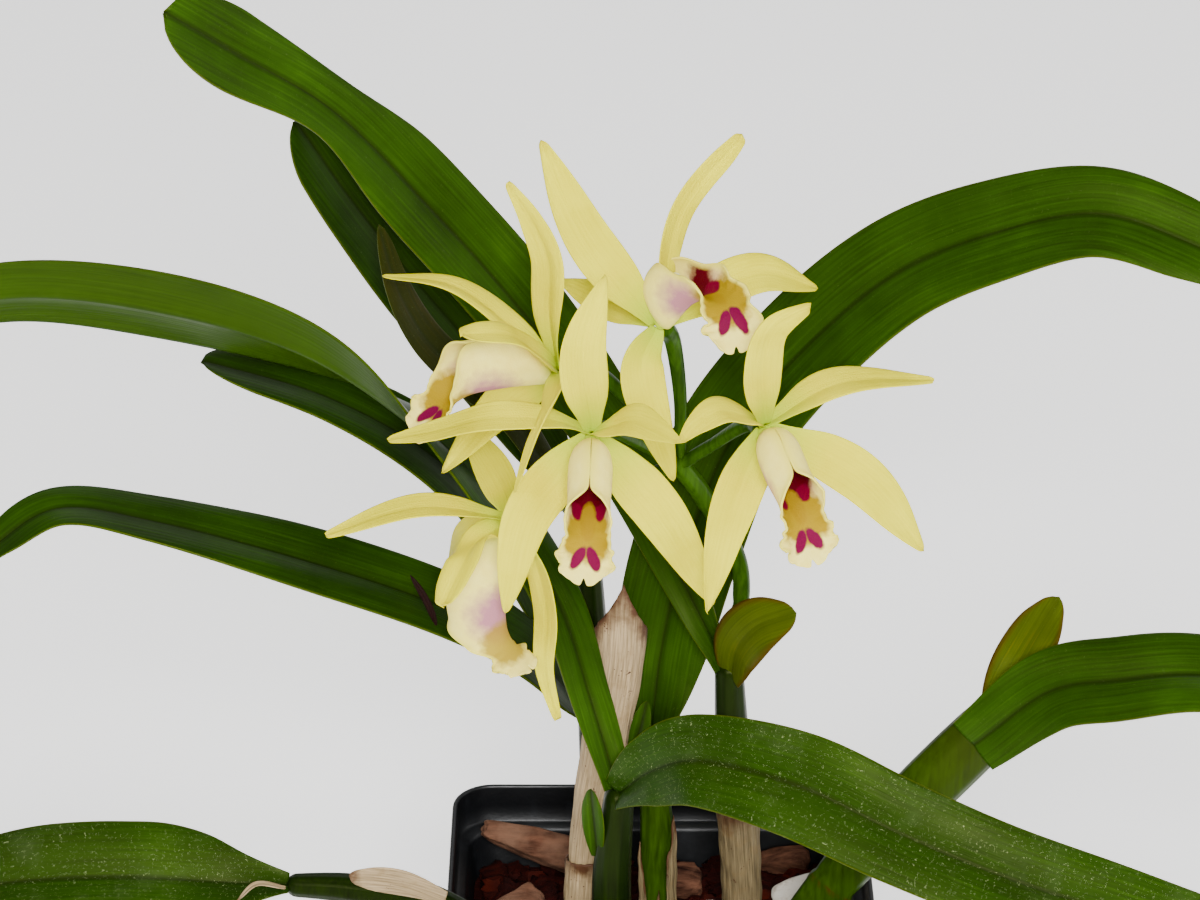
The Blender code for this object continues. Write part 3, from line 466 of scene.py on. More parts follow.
# Each wrap: route, radii, degrees round the stem, the side that its middle lies on, how far its top
# is torn back, the place across of the torn point, and a seed.
SHEATHS = {
    "sheath_middle": [([(22.6, 9, 92), (21.9, 9, 108), (21.1, 8.5, 125), (19.9, 7.9, 142)],
                       (4.7, 5.0, 5.1, 5.3), 330, (0, -0.9, 0.3), 0.06, 0.2, 4)],
    "sheath_second": [
        ([(-0.5, 8, 93), (-1, 8, 108), (-1, 8.6, 122), (-1, 10.2, 139)], (5.0, 5.3, 5.3, 5.3), 42,
         (0.75, -0.6, 0.2), 0.25, 0.3, 9),
        ([(-0.5, 8, 93), (-1, 8, 108), (-1, 8.6, 122), (-1, 9.6, 131)], (5.2, 5.4, 5.6, 6.0), 26,
         (-0.7, -0.7, 0.2), 0.3, -0.4, 10),
        ([(-0.5, 8, 93), (-1, 8, 104), (-1, 8.4, 118)], (5.1, 5.3, 5.4), 30, (0.1, -0.95, 0.2), 0.5, 0.0, 12),
    ],
    "cane_dried": [
        ([(-21, 1, 84), (-20.7, 1.3, 100), (-20.0, 2.0, 115), (-19, 2.7, 129)], (4.5, 4.9, 5.2, 5.7), 352,
         (0.3, -0.9, 0.2), 0.05, 0.1, 21),
        ([(-19.3, 2.5, 123), (-18.2, 3.2, 138), (-15, 5, 160), (-11.4, 7, 186), (-10.2, 9, 211)],
         (4.7, 5.2, 5.9, 6.6, 6.0), 335, (0.2, -0.95, 0.2), 0.3, -0.05, 23),
    ],
}


def sheet(grid, up, down, marks):
    """Closed sheet: the grid's points moved up and down along its normal, joined by a rim of faces.
    The mark upper is 1 on the first side and 0 on the other."""
    rows, columns = grid.shape[:2]
    normal = unit(np.cross(np.gradient(grid, axis=1), np.gradient(grid, axis=0)))
    up, down = (np.broadcast_to(np.asarray(value, float), (rows, columns))[..., None] for value in (up, down))
    points = np.concatenate([(grid + normal * up).reshape(-1, 3), (grid - normal * down).reshape(-1, 3)])
    quads = faces_of(rows, columns)
    index = np.arange(rows * columns).reshape(rows, columns)
    rim = np.concatenate([index[0], index[1:, -1], index[-1, -2::-1], index[-2:0:-1, 0]])
    after = np.roll(rim, -1)
    under = rows * columns
    wall = np.stack([rim, rim + under, after + under, after], axis=-1)
    faces = np.concatenate([quads[:, ::-1], quads + under, wall])
    twice = {key: np.tile(np.broadcast_to(value, (rows, columns)).ravel(), 2) for key, value in marks.items()}
    twice["upper"] = np.repeat([1.0, 0.0], under)
    return points, faces, twice


def wrapped_sheath(route, radii, degrees, face, torn_back, point, seed, rows=76, columns=60):
    """Sheet bent round a stem, u from -1 to 1 across: angle u degrees / 2, radius crumpled by sines. Its
    top falls back from its torn point by torn_back |u - point|^0.8 and by a small sum of sines of u."""
    dice = np.random.default_rng(seed)
    line, length = line_through(route, rows)
    side, out = frame_along(line, [face])
    place, across = np.linspace(0, 1, rows)[:, None], np.linspace(-1, 1, columns)[None, :]
    angle = across * math.radians(degrees) / 2
    phase = dice.uniform(0, math.tau, 6)
    torn = sum(np.sin(across * k * 2.3 + phase[k]) / k for k in range(1, 6))
    back = torn_back * abs(across - point) ** 0.8 + 0.04 * torn_back**0.5 * (1.5 + torn)
    reach = place * (1 - np.clip(back, 0, 0.9))
    centre, side, out = read_rows(reach, line, side, out)
    radius = spline(radii, reach.ravel()).reshape(rows, columns)
    radius = radius + 0.16 * np.sin(angle * 17 + phase[0] + reach * 5)
    radius = radius + 0.12 * np.sin(reach * 31 + angle * 3 + phase[1])
    grid = centre + radius[..., None] * (np.cos(angle)[..., None] * out + np.sin(angle)[..., None] * side)
    marks = {"along": place, "across_mm": angle * radius, "along_mm": reach * length}
    return sheet(grid, PAPER_HALF, PAPER_HALF, marks)


def dry_paper(name, dark, pale):
    """Dried bract, thin as paper: matte, with a slight sheen on its fibres, beige, with brown specks of
    mould and a brown torn edge."""
    material, tree, shader = new_finish(name, {"Roughness": 0.62, "Specular IOR Level": 0.35})
    across_mm = add(tree, "Attribute", attribute_name="across_mm").outputs["Fac"]
    along_mm = add(tree, "Attribute", attribute_name="along_mm").outputs["Fac"]
    along = add(tree, "Attribute", attribute_name="along").outputs["Fac"]
    flat = add(tree, "CombineXYZ", {0: across_mm, 1: along_mm}).outputs[0]
    thread = add(tree, "Mapping", {"Vector": flat, "Scale": (2.6, 0.09, 1)})
    fibres = add(tree, "TexNoise", {"Vector": thread.outputs[0], "Scale": 1, "Detail": 4, "Roughness": 0.6})
    tone = add(tree, "MapRange", {"Value": fibres.outputs["Fac"], "From Min": 0.3, "From Max": 0.7})
    beige = add(tree, "Mix", {0: tone.outputs[0], 6: srgb(dark), 7: srgb(pale)}, data_type="RGBA")
    cloud = add(tree, "TexNoise", {"Vector": flat, "Scale": 0.16, "Detail": 4, "Roughness": 0.6})
    stain = add(tree, "MapRange", {"Value": cloud.outputs["Fac"], "From Min": 0.52, "From Max": 0.74,
                                   "To Max": 0.6})
    stained = add(tree, "Mix", {0: stain.outputs[0], 6: beige.outputs[2], 7: srgb("#7C6238")},
                  data_type="RGBA")
    specks = add(tree, "TexVoronoi", {"Vector": flat, "Scale": 1.3, "Randomness": 1.0})
    where = add(tree, "TexNoise", {"Vector": flat, "Scale": 0.25, "Detail": 2})
    small = add(tree, "MapRange", {"Value": where.outputs["Fac"], "From Min": 0.5, "From Max": 0.75,
                                   "To Max": 0.4})
    spot = add(tree, "Math", {0: specks.outputs["Distance"], 1: small.outputs[0]}, operation="LESS_THAN")
    spotted = add(tree, "Mix", {0: spot.outputs[0], 6: stained.outputs[2], 7: srgb("#4A2A18")},
                  data_type="RGBA")
    ragged = add(tree, "Math", {0: cloud.outputs["Fac"], 1: 0.24, 2: along}, operation="MULTIPLY_ADD")
    torn = add(tree, "MapRange", {"Value": ragged.outputs[0], "From Min": 1.0, "From Max": 1.12})
    colour = add(tree, "Mix", {0: torn.outputs[0], 6: spotted.outputs[2], 7: srgb("#4A2A10")},
                 data_type="RGBA")
    tree.links.new(colour.outputs[2], shader.inputs["Base Color"])
    bump = add(tree, "Bump", {"Height": fibres.outputs["Fac"], "Strength": 0.7, "Distance": 0.0004})
    tree.links.new(bump.outputs[0], shader.inputs["Normal"])
    return material


paper = dry_paper("dry_sheath_paper", "#74603E", "#C0A67E")
# Darker, greyer copy of the sheath paper for the middle and second sheaths: painted shade, for their place in
# the leaves' shadow.
shaded_paper = dry_paper("shaded_sheath_paper", "#4A3E26", "#8E7C58")
for name, wraps in SHEATHS.items():
    parts = [wrapped_sheath(*wrap) for wrap in wraps]
    finish = paper if name == "cane_dried" else shaded_paper
    add_piece(name + "_wrap", joined(parts), finish, [name])

# Leaves. Thick leathery straps, one or two from the top of each cane, folded along a keeled midrib. The
# skin is waxy dark green, finely streaked along, with lime dust and hairs of lint, mostly on two of them.

# Half widths at even places along a leaf, as shares of its widest, where a leaf has none of its own.
LEAF_OUTLINE = (0.36, 0.52, 0.78, 0.95, 1.0, 1.0, 0.97, 0.88, 0.78, 0.66)
LEAF_THICK = 1.4
# How far from its joint a leaf still clasps it.
CLASP_LENGTH = 14.0
# Each leaf: its midrib from the joint out, the directions that its upper side faces at even places along
# it, its half width, the slope of its fold, the angle that it clasps the joint with, and its outline.
LEAVES = {
    "leaf_upper_left": {
        "midrib": [(16.5, 5.2, 184), (4, 16, 206), (-12, 26, 238), (-33, 32, 268), (-58, 30, 301),
                   (-81, 22, 331), (-103, 12, 350), (-118, 3, 364)],
        "faces": [(-0.3, -0.9, 0.3), (0.5, -0.75, 0.45), (0.4, -0.75, 0.5)],
        "half": 12.5, "fold": 0.2,
        "outline": (0.36, 0.44, 0.64, 0.85, 0.96, 1.0, 0.95, 0.66, 0.82, 0.95),
    },
    "leaf_behind_left": {
        "midrib": [(-20, 43, 205.5), (-42, 47, 244), (-64, 44, 276), (-79, 38, 301), (-91, 32, 324)],
        "faces": [(0.4, -0.8, 0.5)],
        "half": 12.0, "fold": 0.25,
    },
    "leaf_left_long": {
        "midrib": [(-12, -24, 166.5), (-19, -15, 188), (-27, 0, 206), (-42, 12, 227), (-61, 16, 247),
                   (-90, 14, 270), (-126, 8, 285), (-161, 0, 292), (-190, -10, 286)],
        "faces": [(0.3, -0.8, 0.3), (0.6, -0.1, 0.6), (0.1, 0.95, 0.35), (0.0, 0.95, 0.3)],
        "half": 12.0, "fold": 0.12, "clasp": 0.5,
    },
    "leaf_left_dark": {
        "midrib": [(-15, 23, 154), (-30, 34, 186), (-44, 36, 210), (-62, 33, 232), (-86, 29, 249),
                   (-116, 22, 263)],
        "faces": [(0.3, -0.5, 0.6), (0.2, -0.2, 0.95)],
        "half": 11.5, "fold": 0.25,
    },
    "leaf_left_low": {
        "midrib": [(-16, 21, 154), (-34, 13, 182), (-56, 7, 200), (-92, 2, 217), (-128, 0, 229),
                   (-150, -6, 236), (-164, -14, 231), (-171, -18, 225)],
        "faces": [(0.2, -0.4, 0.9), (0.1, -0.2, 0.97)],
        "half": 10.8, "fold": 0.2,
        "outline": (0.42, 0.8, 0.98, 1.0, 1.0, 0.98, 0.9, 0.76, 0.62, 0.5),
    },
    "leaf_upper_right": {
        "midrib": [(-3, 13.5, 155), (0, 20, 180), (6, 26, 205), (18, 34, 235), (37, 35, 261),
                   (59, 30, 284), (82, 21, 299), (105, 12, 308), (126, 2, 305), (143, -8, 299)],
        "faces": [(0.1, -0.9, 0.3), (-0.3, -0.75, 0.6), (-0.15, -0.7, 0.7)],
        "half": 14.6, "fold": 0.2,
        "outline": (0.4, 0.84, 0.98, 1.0, 1.0, 1.0, 0.96, 0.88, 0.74, 0.6),
    },
    "leaf_front_right": {
        "midrib": [(-10.8, -25.8, 165.5), (-3, -33.5, 177), (9, -43, 186), (32, -57, 188), (56, -67, 181),
                   (79, -74, 174), (103, -78, 167), (127, -80, 159), (150, -80, 151)],
        "faces": [(-0.3, -0.75, 0.6), (0.0, -0.7, 0.7)],
        "half": 13.2, "fold": 0.2, "clasp": 0.75,
        "outline": (0.4, 0.78, 0.92, 1.0, 0.98, 0.95, 0.92, 0.88, 0.8, 0.7),
    },
    "leaf_right_low": {
        "midrib": [(80, -3.5, 166), (98, -6, 183), (115, -12, 190), (134, -18, 195), (158, -26, 195),
                   (178, -34, 188)],
        "faces": [(0.1, -0.9, 0.4), (-0.2, -0.6, 0.75), (0.0, -0.35, 0.95), (0.0, -0.3, 0.95)],
        "half": 12.0, "fold": 0.15, "clasp": 0.2,
        "outline": (0.68, 0.78, 0.9, 0.97, 1.0, 0.98, 0.94, 0.86, 0.76, 0.66),
    },
    "leaf_left_ground": {
        "midrib": [(-97, -8, 125.5), (-114, -8, 126), (-136, -8, 127.5), (-158, -8, 127), (-176, -8, 125),
                   (-194, -9, 121)],
        "faces": [(0.0, -0.6, 0.8)],
        "half": 15.0, "fold": 0.2, "clasp": 0.6,
        "outline": (0.22, 0.5, 0.82, 0.98, 1.0, 1.0, 0.97, 0.88, 0.76, 0.6),
    },
}


def blade(midrib, faces, outline, fold, thick, rows, columns, wave, seed, keel=0.5, tip=0.1, clasp=1.0,
          soft=0.01):
    """Folded strip, u from -1 to 1 across: line(v) + side(v) half(v) u cos(bend) + face(v) lift, where
    lift is half(v) (sqrt(u^2 + soft) - sqrt(soft)) sin(bend), and each half is slightly crowned. The bend
    starts at the clasp angle at the joint and opens to the fold's slope. Slow waves grow to the edges,
    the half width ends in a quarter ellipse at the tip, and the sheet thins to its edges over a keel."""
    dice = np.random.default_rng(seed)
    line, length = line_through(midrib, rows)
    side, face = (values[:, None] for values in frame_along(line, faces))
    place, across = np.linspace(0, 1, rows)[:, None], np.linspace(-1, 1, columns)[None, :]
    rounded = np.sqrt(np.clip(1 - np.clip((place - 1 + tip) / tip, 0, 1) ** 2, 0.0003, 1))
    half = spline(outline, place[:, 0])[:, None] * rounded
    open_bend = math.atan(fold)
    bend = open_bend + (clasp - open_bend) * np.exp(-((place * length / CLASP_LENGTH) ** 2))
    lift = half * (np.sqrt(across**2 + soft) - math.sqrt(soft)) * np.sin(bend)
    lift = lift + 0.05 * half * (1 - (2 * abs(across) - 1) ** 2)
    phase = dice.uniform(0, math.tau, 6)
    slow = sum(np.sin(place * length / (26 / k) + phase[k] + across * 1.6) / k for k in (1, 2, 3))
    lift = lift + wave * across**2 * slow * np.clip(place * 5, 0, 1)
    grid = line[:, None] + side * (half * across * np.cos(bend))[..., None] + face * lift[..., None]
    even = thick * (1 - 0.6 * across**2) * np.clip(half / half.max() + 0.2, 0, 1)
    ridge = keel * np.exp(-((half * across / 1.1) ** 2)) * (1 - 0.6 * place)
    marks = {"along": place, "across": across, "across_mm": half * across, "along_mm": place * length}
    return sheet(grid, even / 2, even / 2 + ridge, marks)


def leaf_skin(name, deep, mid, bright, dust, gloss=0.34, crease=0.75, rim=("#4A5206", 0.965)):
    """Waxy leaf skin over thick flesh: satin gloss, painted shade in the groove along the midrib, streaked
    along the blade, paler underneath. Its upper side has a rim of another colour, lime dust and curled hairs
    of lint."""
    material, tree, shader = new_finish(name, {
        "IOR": 1.45, "Specular IOR Level": 0.15, "Specular Tint": srgb("#D2DC86")})
    across_mm, along_mm, across, upper = (
        add(tree, "Attribute", attribute_name=mark).outputs["Fac"]
        for mark in ("across_mm", "along_mm", "across", "upper"))
    place = add(tree, "TexCoord").outputs["Object"]
    flat = add(tree, "CombineXYZ", {0: across_mm, 1: along_mm}).outputs[0]
    thread = add(tree, "Mapping", {"Vector": flat, "Scale": (1.6, 0.03, 1)})
    veins = add(tree, "TexNoise", {"Vector": thread.outputs[0], "Scale": 1, "Detail": 3})
    cloud = add(tree, "TexNoise", {"Vector": place, "Scale": 32, "Detail": 4, "Roughness": 0.55})
    mixed = add(tree, "Math", {0: veins.outputs["Fac"], 1: 0.8, 2: cloud.outputs["Fac"]},
                operation="MULTIPLY_ADD")
    tone = add(tree, "MapRange", {"Value": mixed.outputs[0], "From Min": 0.6, "From Max": 1.3})
    ramp = add(tree, "ValToRGB", {0: tone.outputs[0]})
    for stop, (spot, code) in enumerate(((0.0, deep), (0.55, mid), (1.0, bright))):
        if stop == 2:
            ramp.color_ramp.elements.new(spot)
        ramp.color_ramp.elements[stop].position = spot
        ramp.color_ramp.elements[stop].color = srgb(code)
    side = add(tree, "Math", {0: across_mm}, operation="ABSOLUTE").outputs[0]
    # Painted shade along the midrib groove: within 1.4 mm of the midrib the colour darkens towards #101A01 by
    # the share crease.
    groove = add(tree, "MapRange", {"Value": side, "From Min": 0.25, "From Max": 1.4, "To Min": crease,
                                     "To Max": 0})
    groove_shaded = add(tree, "Mix", {0: groove.outputs[0], 6: ramp.outputs[0], 7: srgb("#101A01")},
                  data_type="RGBA")
    edge = add(tree, "Math", {0: across}, operation="ABSOLUTE").outputs[0]
    margin = add(tree, "MapRange", {"Value": edge, "From Min": rim[1], "From Max": 1.0, "To Max": 0.7})
    rimmed = add(tree, "Mix", {0: margin.outputs[0], 6: groove_shaded.outputs[2], 7: srgb(rim[0])},
                 data_type="RGBA")
    back = add(tree, "Mix", {0: tone.outputs[0], 6: srgb("#1C3001"), 7: srgb("#2C4602")}, data_type="RGBA")
    sided = add(tree, "Mix", {0: upper, 6: back.outputs[2], 7: rimmed.outputs[2]}, data_type="RGBA")
    grit = add(tree, "TexVoronoi", {"Vector": flat, "Scale": 1.3, "Randomness": 1.0})
    where = add(tree, "TexNoise", {"Vector": place, "Scale": 90, "Detail": 3})
    fleck = add(tree, "MapRange", {"Value": where.outputs["Fac"], "From Min": 0.5, "From Max": 0.8,
                                   "To Max": 0.15})
    specks = add(tree, "Math", {0: grit.outputs["Distance"], 1: fleck.outputs[0]},
                 operation="LESS_THAN").outputs[0]
    curl = add(tree, "TexNoise", {"Vector": flat, "Scale": 0.7, "Detail": 1, "Distortion": 1.5})
    line = add(tree, "Math", {0: curl.outputs["Fac"], 1: 0.5, 2: 0.0055}, operation="COMPARE").outputs[0]
    broken = add(tree, "TexNoise", {"Vector": flat, "Scale": 1.1, "Detail": 2})
    bits = add(tree, "Math", {0: broken.outputs["Fac"], 1: 0.55}, operation="GREATER_THAN").outputs[0]
    lint = add(tree, "Math", {0: line, 1: bits}, operation="MULTIPLY").outputs[0]
    both = add(tree, "Math", {0: specks, 1: lint}, operation="MAXIMUM").outputs[0]
    film = add(tree, "TexNoise", {"Vector": place, "Scale": 45, "Detail": 6, "Roughness": 0.7})
    haze = add(tree, "MapRange", {"Value": film.outputs["Fac"], "From Min": 0.5, "From Max": 0.8,
                                  "To Max": 0.1})
    dirt = add(tree, "Math", {0: both, 1: haze.outputs[0]}, operation="MAXIMUM").outputs[0]
    facing = add(tree, "Math", {0: dirt, 1: upper}, operation="MULTIPLY").outputs[0]
    amount = add(tree, "Math", {0: facing, 1: dust}, operation="MULTIPLY").outputs[0]
    colour = add(tree, "Mix", {0: amount, 6: sided.outputs[2], 7: srgb("#8E9A68")}, data_type="RGBA")
    tree.links.new(colour.outputs[2], shader.inputs["Base Color"])
    rough = add(tree, "MapRange", {"Value": film.outputs["Fac"], "From Min": 0.3, "From Max": 0.7,
                                   "To Min": gloss - 0.06, "To Max": gloss + 0.14})
    tree.links.new(rough.outputs[0], shader.inputs["Roughness"])
    height = add(tree, "Math", {0: veins.outputs["Fac"], 1: 0.7, 2: film.outputs["Fac"]},
                 operation="MULTIPLY_ADD")
    bump = add(tree, "Bump", {"Height": height.outputs[0], "Strength": 0.22, "Distance": 0.0006})
    tree.links.new(bump.outputs[0], shader.inputs["Normal"])
    return material


clean_leaf = leaf_skin("leaf_skin", "#162901", "#223E02", "#315402", 0.08)
dusty_leaf = leaf_skin("dusty_leaf_skin", "#132501", "#1C3602", "#2A4803", 0.8, gloss=0.4)
# Darker copy of the leaf skin for the low and back leaves on the left: painted shade, for their place in the
# shadow behind the others.
shaded_leaf = leaf_skin("shaded_leaf_skin", "#101F01", "#1A3202", "#264402", 0.06)
OTHER_LEAF_SKINS = {
    "leaf_front_right": dusty_leaf, "leaf_left_ground": dusty_leaf,
    "leaf_left_low": shaded_leaf, "leaf_left_dark": shaded_leaf, "leaf_behind_left": shaded_leaf,
}
for seed, (name, leaf) in enumerate(LEAVES.items()):
    outline = leaf["half"] * np.array(leaf.get("outline", LEAF_OUTLINE))
    part = blade(leaf["midrib"], leaf["faces"], outline, leaf["fold"], LEAF_THICK, rows=160, columns=37,
                 wave=0.45, seed=seed, clasp=leaf.get("clasp", 1.0))
    skin = OTHER_LEAF_SKINS.get(name, clean_leaf)
    add_piece(name + "_blade", part, skin, [name])

# Bracts. Small scales at the joints: a dark empty spathe, olive and green ones that still live, and
# dried ones. Each clasps its cane at its base, apart from a dry point that rests on a leaf.
BRACT_OUTLINE = (0.5, 0.85, 1.0, 0.85, 0.3)
BRACT_FOLD, BRACT_THICK = 0.12, 0.6
# Each bract: its midrib, the direction that its upper side faces, and its half width.
BRACTS = {
    "spathe_left": ([(-22, 40, 208), (-38, 35, 240), (-51, 31, 255), (-60, 26, 268), (-66, 20, 284),
                     (-70, 15, 304)], (0.5, -0.8, 0.4), 5.0),
    "bract_middle": ([(17.8, 3.0, 182.5), (19, -3.5, 195), (24, -8, 204), (33, -12, 210)],
                     (-0.5, -0.8, 0.45), 8.0),
    "bract_right": ([(85, 2.0, 167), (89.5, 7.5, 178), (95, 10.5, 188), (101, 8, 203)],
                    (-0.5, -0.85, 0.0), 7.0),
    "bract_front": ([(-16.6, -25.0, 146), (-17.4, -26.4, 157), (-18.2, -27.6, 168)], (-0.5, -0.85, 0.1), 3.4),
    "bract_low": ([(-7.6, 2.5, 158), (-5.6, 1.3, 168), (-4.0, 1.2, 176)], (-0.2, -1.0, 0.1), 2.6),
    "bract_left": ([(-56, -14, 125.4), (-68, -13, 129.4), (-81, -11, 130.0)], (0.0, -0.5, 0.85), 3.6),
    "tendril_left": ([(-98, -9.8, 125.8), (-105, -13.5, 129.5), (-110, -16, 126)], (0.0, -0.7, 0.7), 0.9),
    "thorn_left": ([(-57.5, -1.5, 200.4), (-59.8, -4, 209), (-63, -6, 217)], (0.3, -0.9, 0.3), 0.7),
}
DRY_BRACTS = ("bract_left", "tendril_left", "thorn_left")
# Dead, woody point of a scale: dark, dry and matte.
thorn_bark = new_finish("dry_thorn_bark", {
    "Base Color": srgb("#1A0602"), "Roughness": 0.8, "Specular IOR Level": 0.1})[0]
olive_bract = leaf_skin("olive_bract_skin", "#2A3601", "#445001", "#6A5A03", 0.1, gloss=0.4, crease=0.15,
                        rim=("#4A1E04", 0.72))
dark_spathe = leaf_skin("spathe_skin", "#101401", "#1E2201", "#2E2604", 0.1, gloss=0.4, crease=0.4)
OTHER_BRACT_SKINS = {
    "bract_left": paper, "tendril_left": paper, "thorn_left": thorn_bark,
    "spathe_left": dark_spathe, "bract_front": clean_leaf, "bract_low": clean_leaf,
}
for seed, (name, (midrib, face, half)) in enumerate(BRACTS.items()):
    dry = name in DRY_BRACTS
    part = blade(midrib, [face], half * np.array(BRACT_OUTLINE), BRACT_FOLD, BRACT_THICK, rows=60, columns=21,
                 wave=0.9 if dry else 0.25, seed=seed, keel=0.1, tip=0.08, clasp=0.4, soft=0.08)
    skin = OTHER_BRACT_SKINS.get(name, olive_bract)
    add_piece(name + "_scale", part, skin, [name])

# Flower stalk. One green peduncle from the top of the middle cane, which parts at a knuckle into five
# pedicels. Each pedicel swells into the ribbed ovary right behind its bloom.
CROWN = (4.0, 12.0, 239.0)
PEDUNCLE = [(18.5, 7, 184), (20, 17, 206), (11, 17, 226), CROWN]
PEDICELS = {
    "left": [CROWN, (-6, 12, 254), (-18, 8, 268)],
    "top": [CROWN, (4, 10, 258), (2, 6, 276)],
    "centre": [CROWN, (-5, 2, 250), (-14, -14, 263)],
    "right": [CROWN, (12, 6, 248), (20, -6, 260)],
    "low": [CROWN, (-12, 6, 237), (-28, -8, 238)],
}
# Each bloom: its centre, and as offsets from there its tepals and the lower line of its lip. A tepal has
# its midrib, the directions that its upper side faces, its half width and its kind of outline. "up" is
# the side that the lip's tube opens to, and "lobe" the side that its front lobe faces, if it is another
# one. "cut" is the share that the side lobes are narrowed by, and "late" is the power that sets how late
# the front lobe spreads.
BLOOMS = {
    "left": {
        "centre": (-28, -8, 275),
        "tepals": [
            ([(0, 4, 14), (0, 4, 28), (-4, 6, 38), (-10, 8, 47)], [(-0.75, -0.6, 0.1)], 5.4, "petal"),
            ([(-21, 8, 18), (-41, 15, 19)], [(-0.2, 0.1, 0.97)], 5.2, "petal"),
            ([(-3, -8, 9), (-10, -22, 21), (-20, -32, 26)], [(0.4, -0.5, 0.75), (0.2, -0.4, 0.9)],
             4.6, "strap"),
            ([(-11, 9, -12), (-27, 3, -29)], [(-0.3, -0.9, 0.2)], 5.8, "lower"),
            ([(2.6, -8, 2.5), (1, -20, 3), (-3.5, -32, -1), (-8, -40, -11)],
             [(-0.1, -0.5, 0.8), (-0.7, -0.4, 0.5), (-0.85, -0.4, 0.3)], 4.4, "lower"),
        ],
        "lip": [(-12, -4, -1), (-23, -7, -3), (-33, -12, -12)],
        "up": (-0.1, -0.15, 0.97),
    },
    "top": {
        "centre": (-1, -2, 286),
        "tepals": [
            ([(-18, 0, 22), (-29, 4, 46)], [(0.3, -0.9, 0.2)], 6.0, "petal"),
            ([(4, 4, 27), (19, 10, 45)], [(0.6, -0.75, 0.1), (0.5, -0.85, 0.0)], 4.2, "strap"),
            ([(22, 12, 7), (39, 25, -3)], [(0.2, -0.75, 0.6)], 5.8, "petal"),
            ([(-5, -7, -11), (3, -11, -38)], [(0.2, -0.95, 0.1)], 5.8, "lower"),
            ([(-12, 14, -2), (-25, 28, -2)], [(-0.4, -0.5, 0.7)], 5.0, "petal"),
        ],
        "lip": [(7, -5.5, 7.5), (12.5, -10.5, 11), (16, -16, 9.5), (17.5, -20.5, 1.5)],
        "up": (-0.3, 0.3, 0.9), "lobe": (0.15, -0.9, 0.35), "cut": 0.42, "late": 0.82,
    },
    "centre": {
        "centre": (-18, -28, 267),
        "tepals": [
            ([(-2, -4, 26), (3, -7, 47)], [(0.1, -0.95, 0.3)], 6.0, "petal"),
            ([(-10, -3, 7), (-24, -4, 8), (-37, 1, 2), (-49, 6, -3)], [(0.0, -0.3, 0.95)], 5.4, "petal"),
            ([(5, -7, 7.5), (10, -15, 13), (15, -23, 15), (20.5, -31, 16)],
             [(-0.3, -0.3, 0.9), (-0.6, -0.4, 0.65)], 5.0, "petal"),
            ([(-8, -1.5, -8), (-16, -8, -18), (-21, -6, -44)], [(-0.1, -0.95, 0.25)], 6.4, "lower"),
            ([(8.5, 0.5, -9), (18, -2, -21), (30, 10, -51)], [(0.1, -0.95, 0.25)], 6.4, "lower"),
        ],
        "lip": [(-0.5, -11, -9), (-1, -19, -16), (-2, -24, -26)],
        "up": (0.0, -0.83, 0.55),
    },
    "right": {
        "centre": (24, -20, 265),
        "tepals": [
            ([(-2, -8, 21), (0, -15, 35), (8.5, -21, 44)], [(0.5, -0.82, 0.0), (0.3, -0.9, 0.2)],
             5.4, "petal"),
            ([(-6, -6, 7.5), (-12, -13, 12.5), (-17.5, -20, 12.5), (-21.5, -26, 11)],
             [(0.3, -0.3, 0.9), (0.5, -0.5, 0.7)], 4.6, "petal"),
            ([(18, 8, 9), (42, 22, 3)], [(0.0, -0.2, 0.97)], 5.6, "petal"),
            ([(-9, -8, -19), (-14, -14, -42)], [(0.2, -0.95, 0.2)], 6.2, "lower"),
            ([(23, 2, -13), (40, 8, -37)], [(0.1, -0.95, 0.3)], 6.4, "petal"),
        ],
        "lip": [(4, -11, -8), (8, -18, -14), (11, -23, -24)],
        "up": (0.15, -0.8, 0.5),
    },
    "low": {
        "centre": (-37.5, -20, 239),
        "tepals": [
            ([(-3, 14, 5), (-12, 34, 10)], [(-0.6, -0.3, 0.7)], 5.0, "petal"),
            ([(-22, -5, 8), (-45, -6, 1)], [(0.0, -0.1, 1.0)], 5.2, "petal"),
            ([(-7, -8, 1), (-11, -19, 1), (-16, -28, -6)], [(-0.5, -0.7, 0.5)], 5.2, "strap"),
            ([(6, 3, -12), (8.5, 2, -26), (8, 0, -40), (11, -2, -54)], [(-0.6, -0.8, 0.0), (-0.8, -0.6, 0.0)],
             4.6, "petal"),
            ([(-11, 16, -12), (-17, 33, -27)], [(-0.7, -0.6, 0.3)], 5.4, "petal"),
        ],
        "lip": [(-2, -2, -12), (-2.5, -3, -22), (-1, -5, -30), (5, -8, -36)],
        "up": (-0.87, 0.4, 0.1), "late": 1.5,
    },
}
parts = [stem([*PEDUNCLE, (2, 11, 242)], (2.4, 2.2, 2.2, 2.5, 2.4), (0.2,), rows=80, sides=24, ridges=6)]
for name, route in PEDICELS.items():
    centre = np.array(BLOOMS[name]["centre"], float)
    back = unit(np.array(route[-1]) - centre)
    line = [*map(np.array, route), centre + back * 2.0]
    parts.append(stem(line, (1.7, 1.6, 1.9, 2.3), (), rows=70, sides=24, ridges=6))
stalk_green = cane_skin("stalk_skin", "#1B3402", "#335503", "#5C7A12")
add_piece("flower_stalk_stems", joined(parts), stalk_green, ["flower_stalk"])

# Tepals. Three sepals and two petals a bloom, narrow, pale yellow and green at the base, thin and a
# little translucent. They grow from one point behind the lip and arch outwards with reflexed tips.

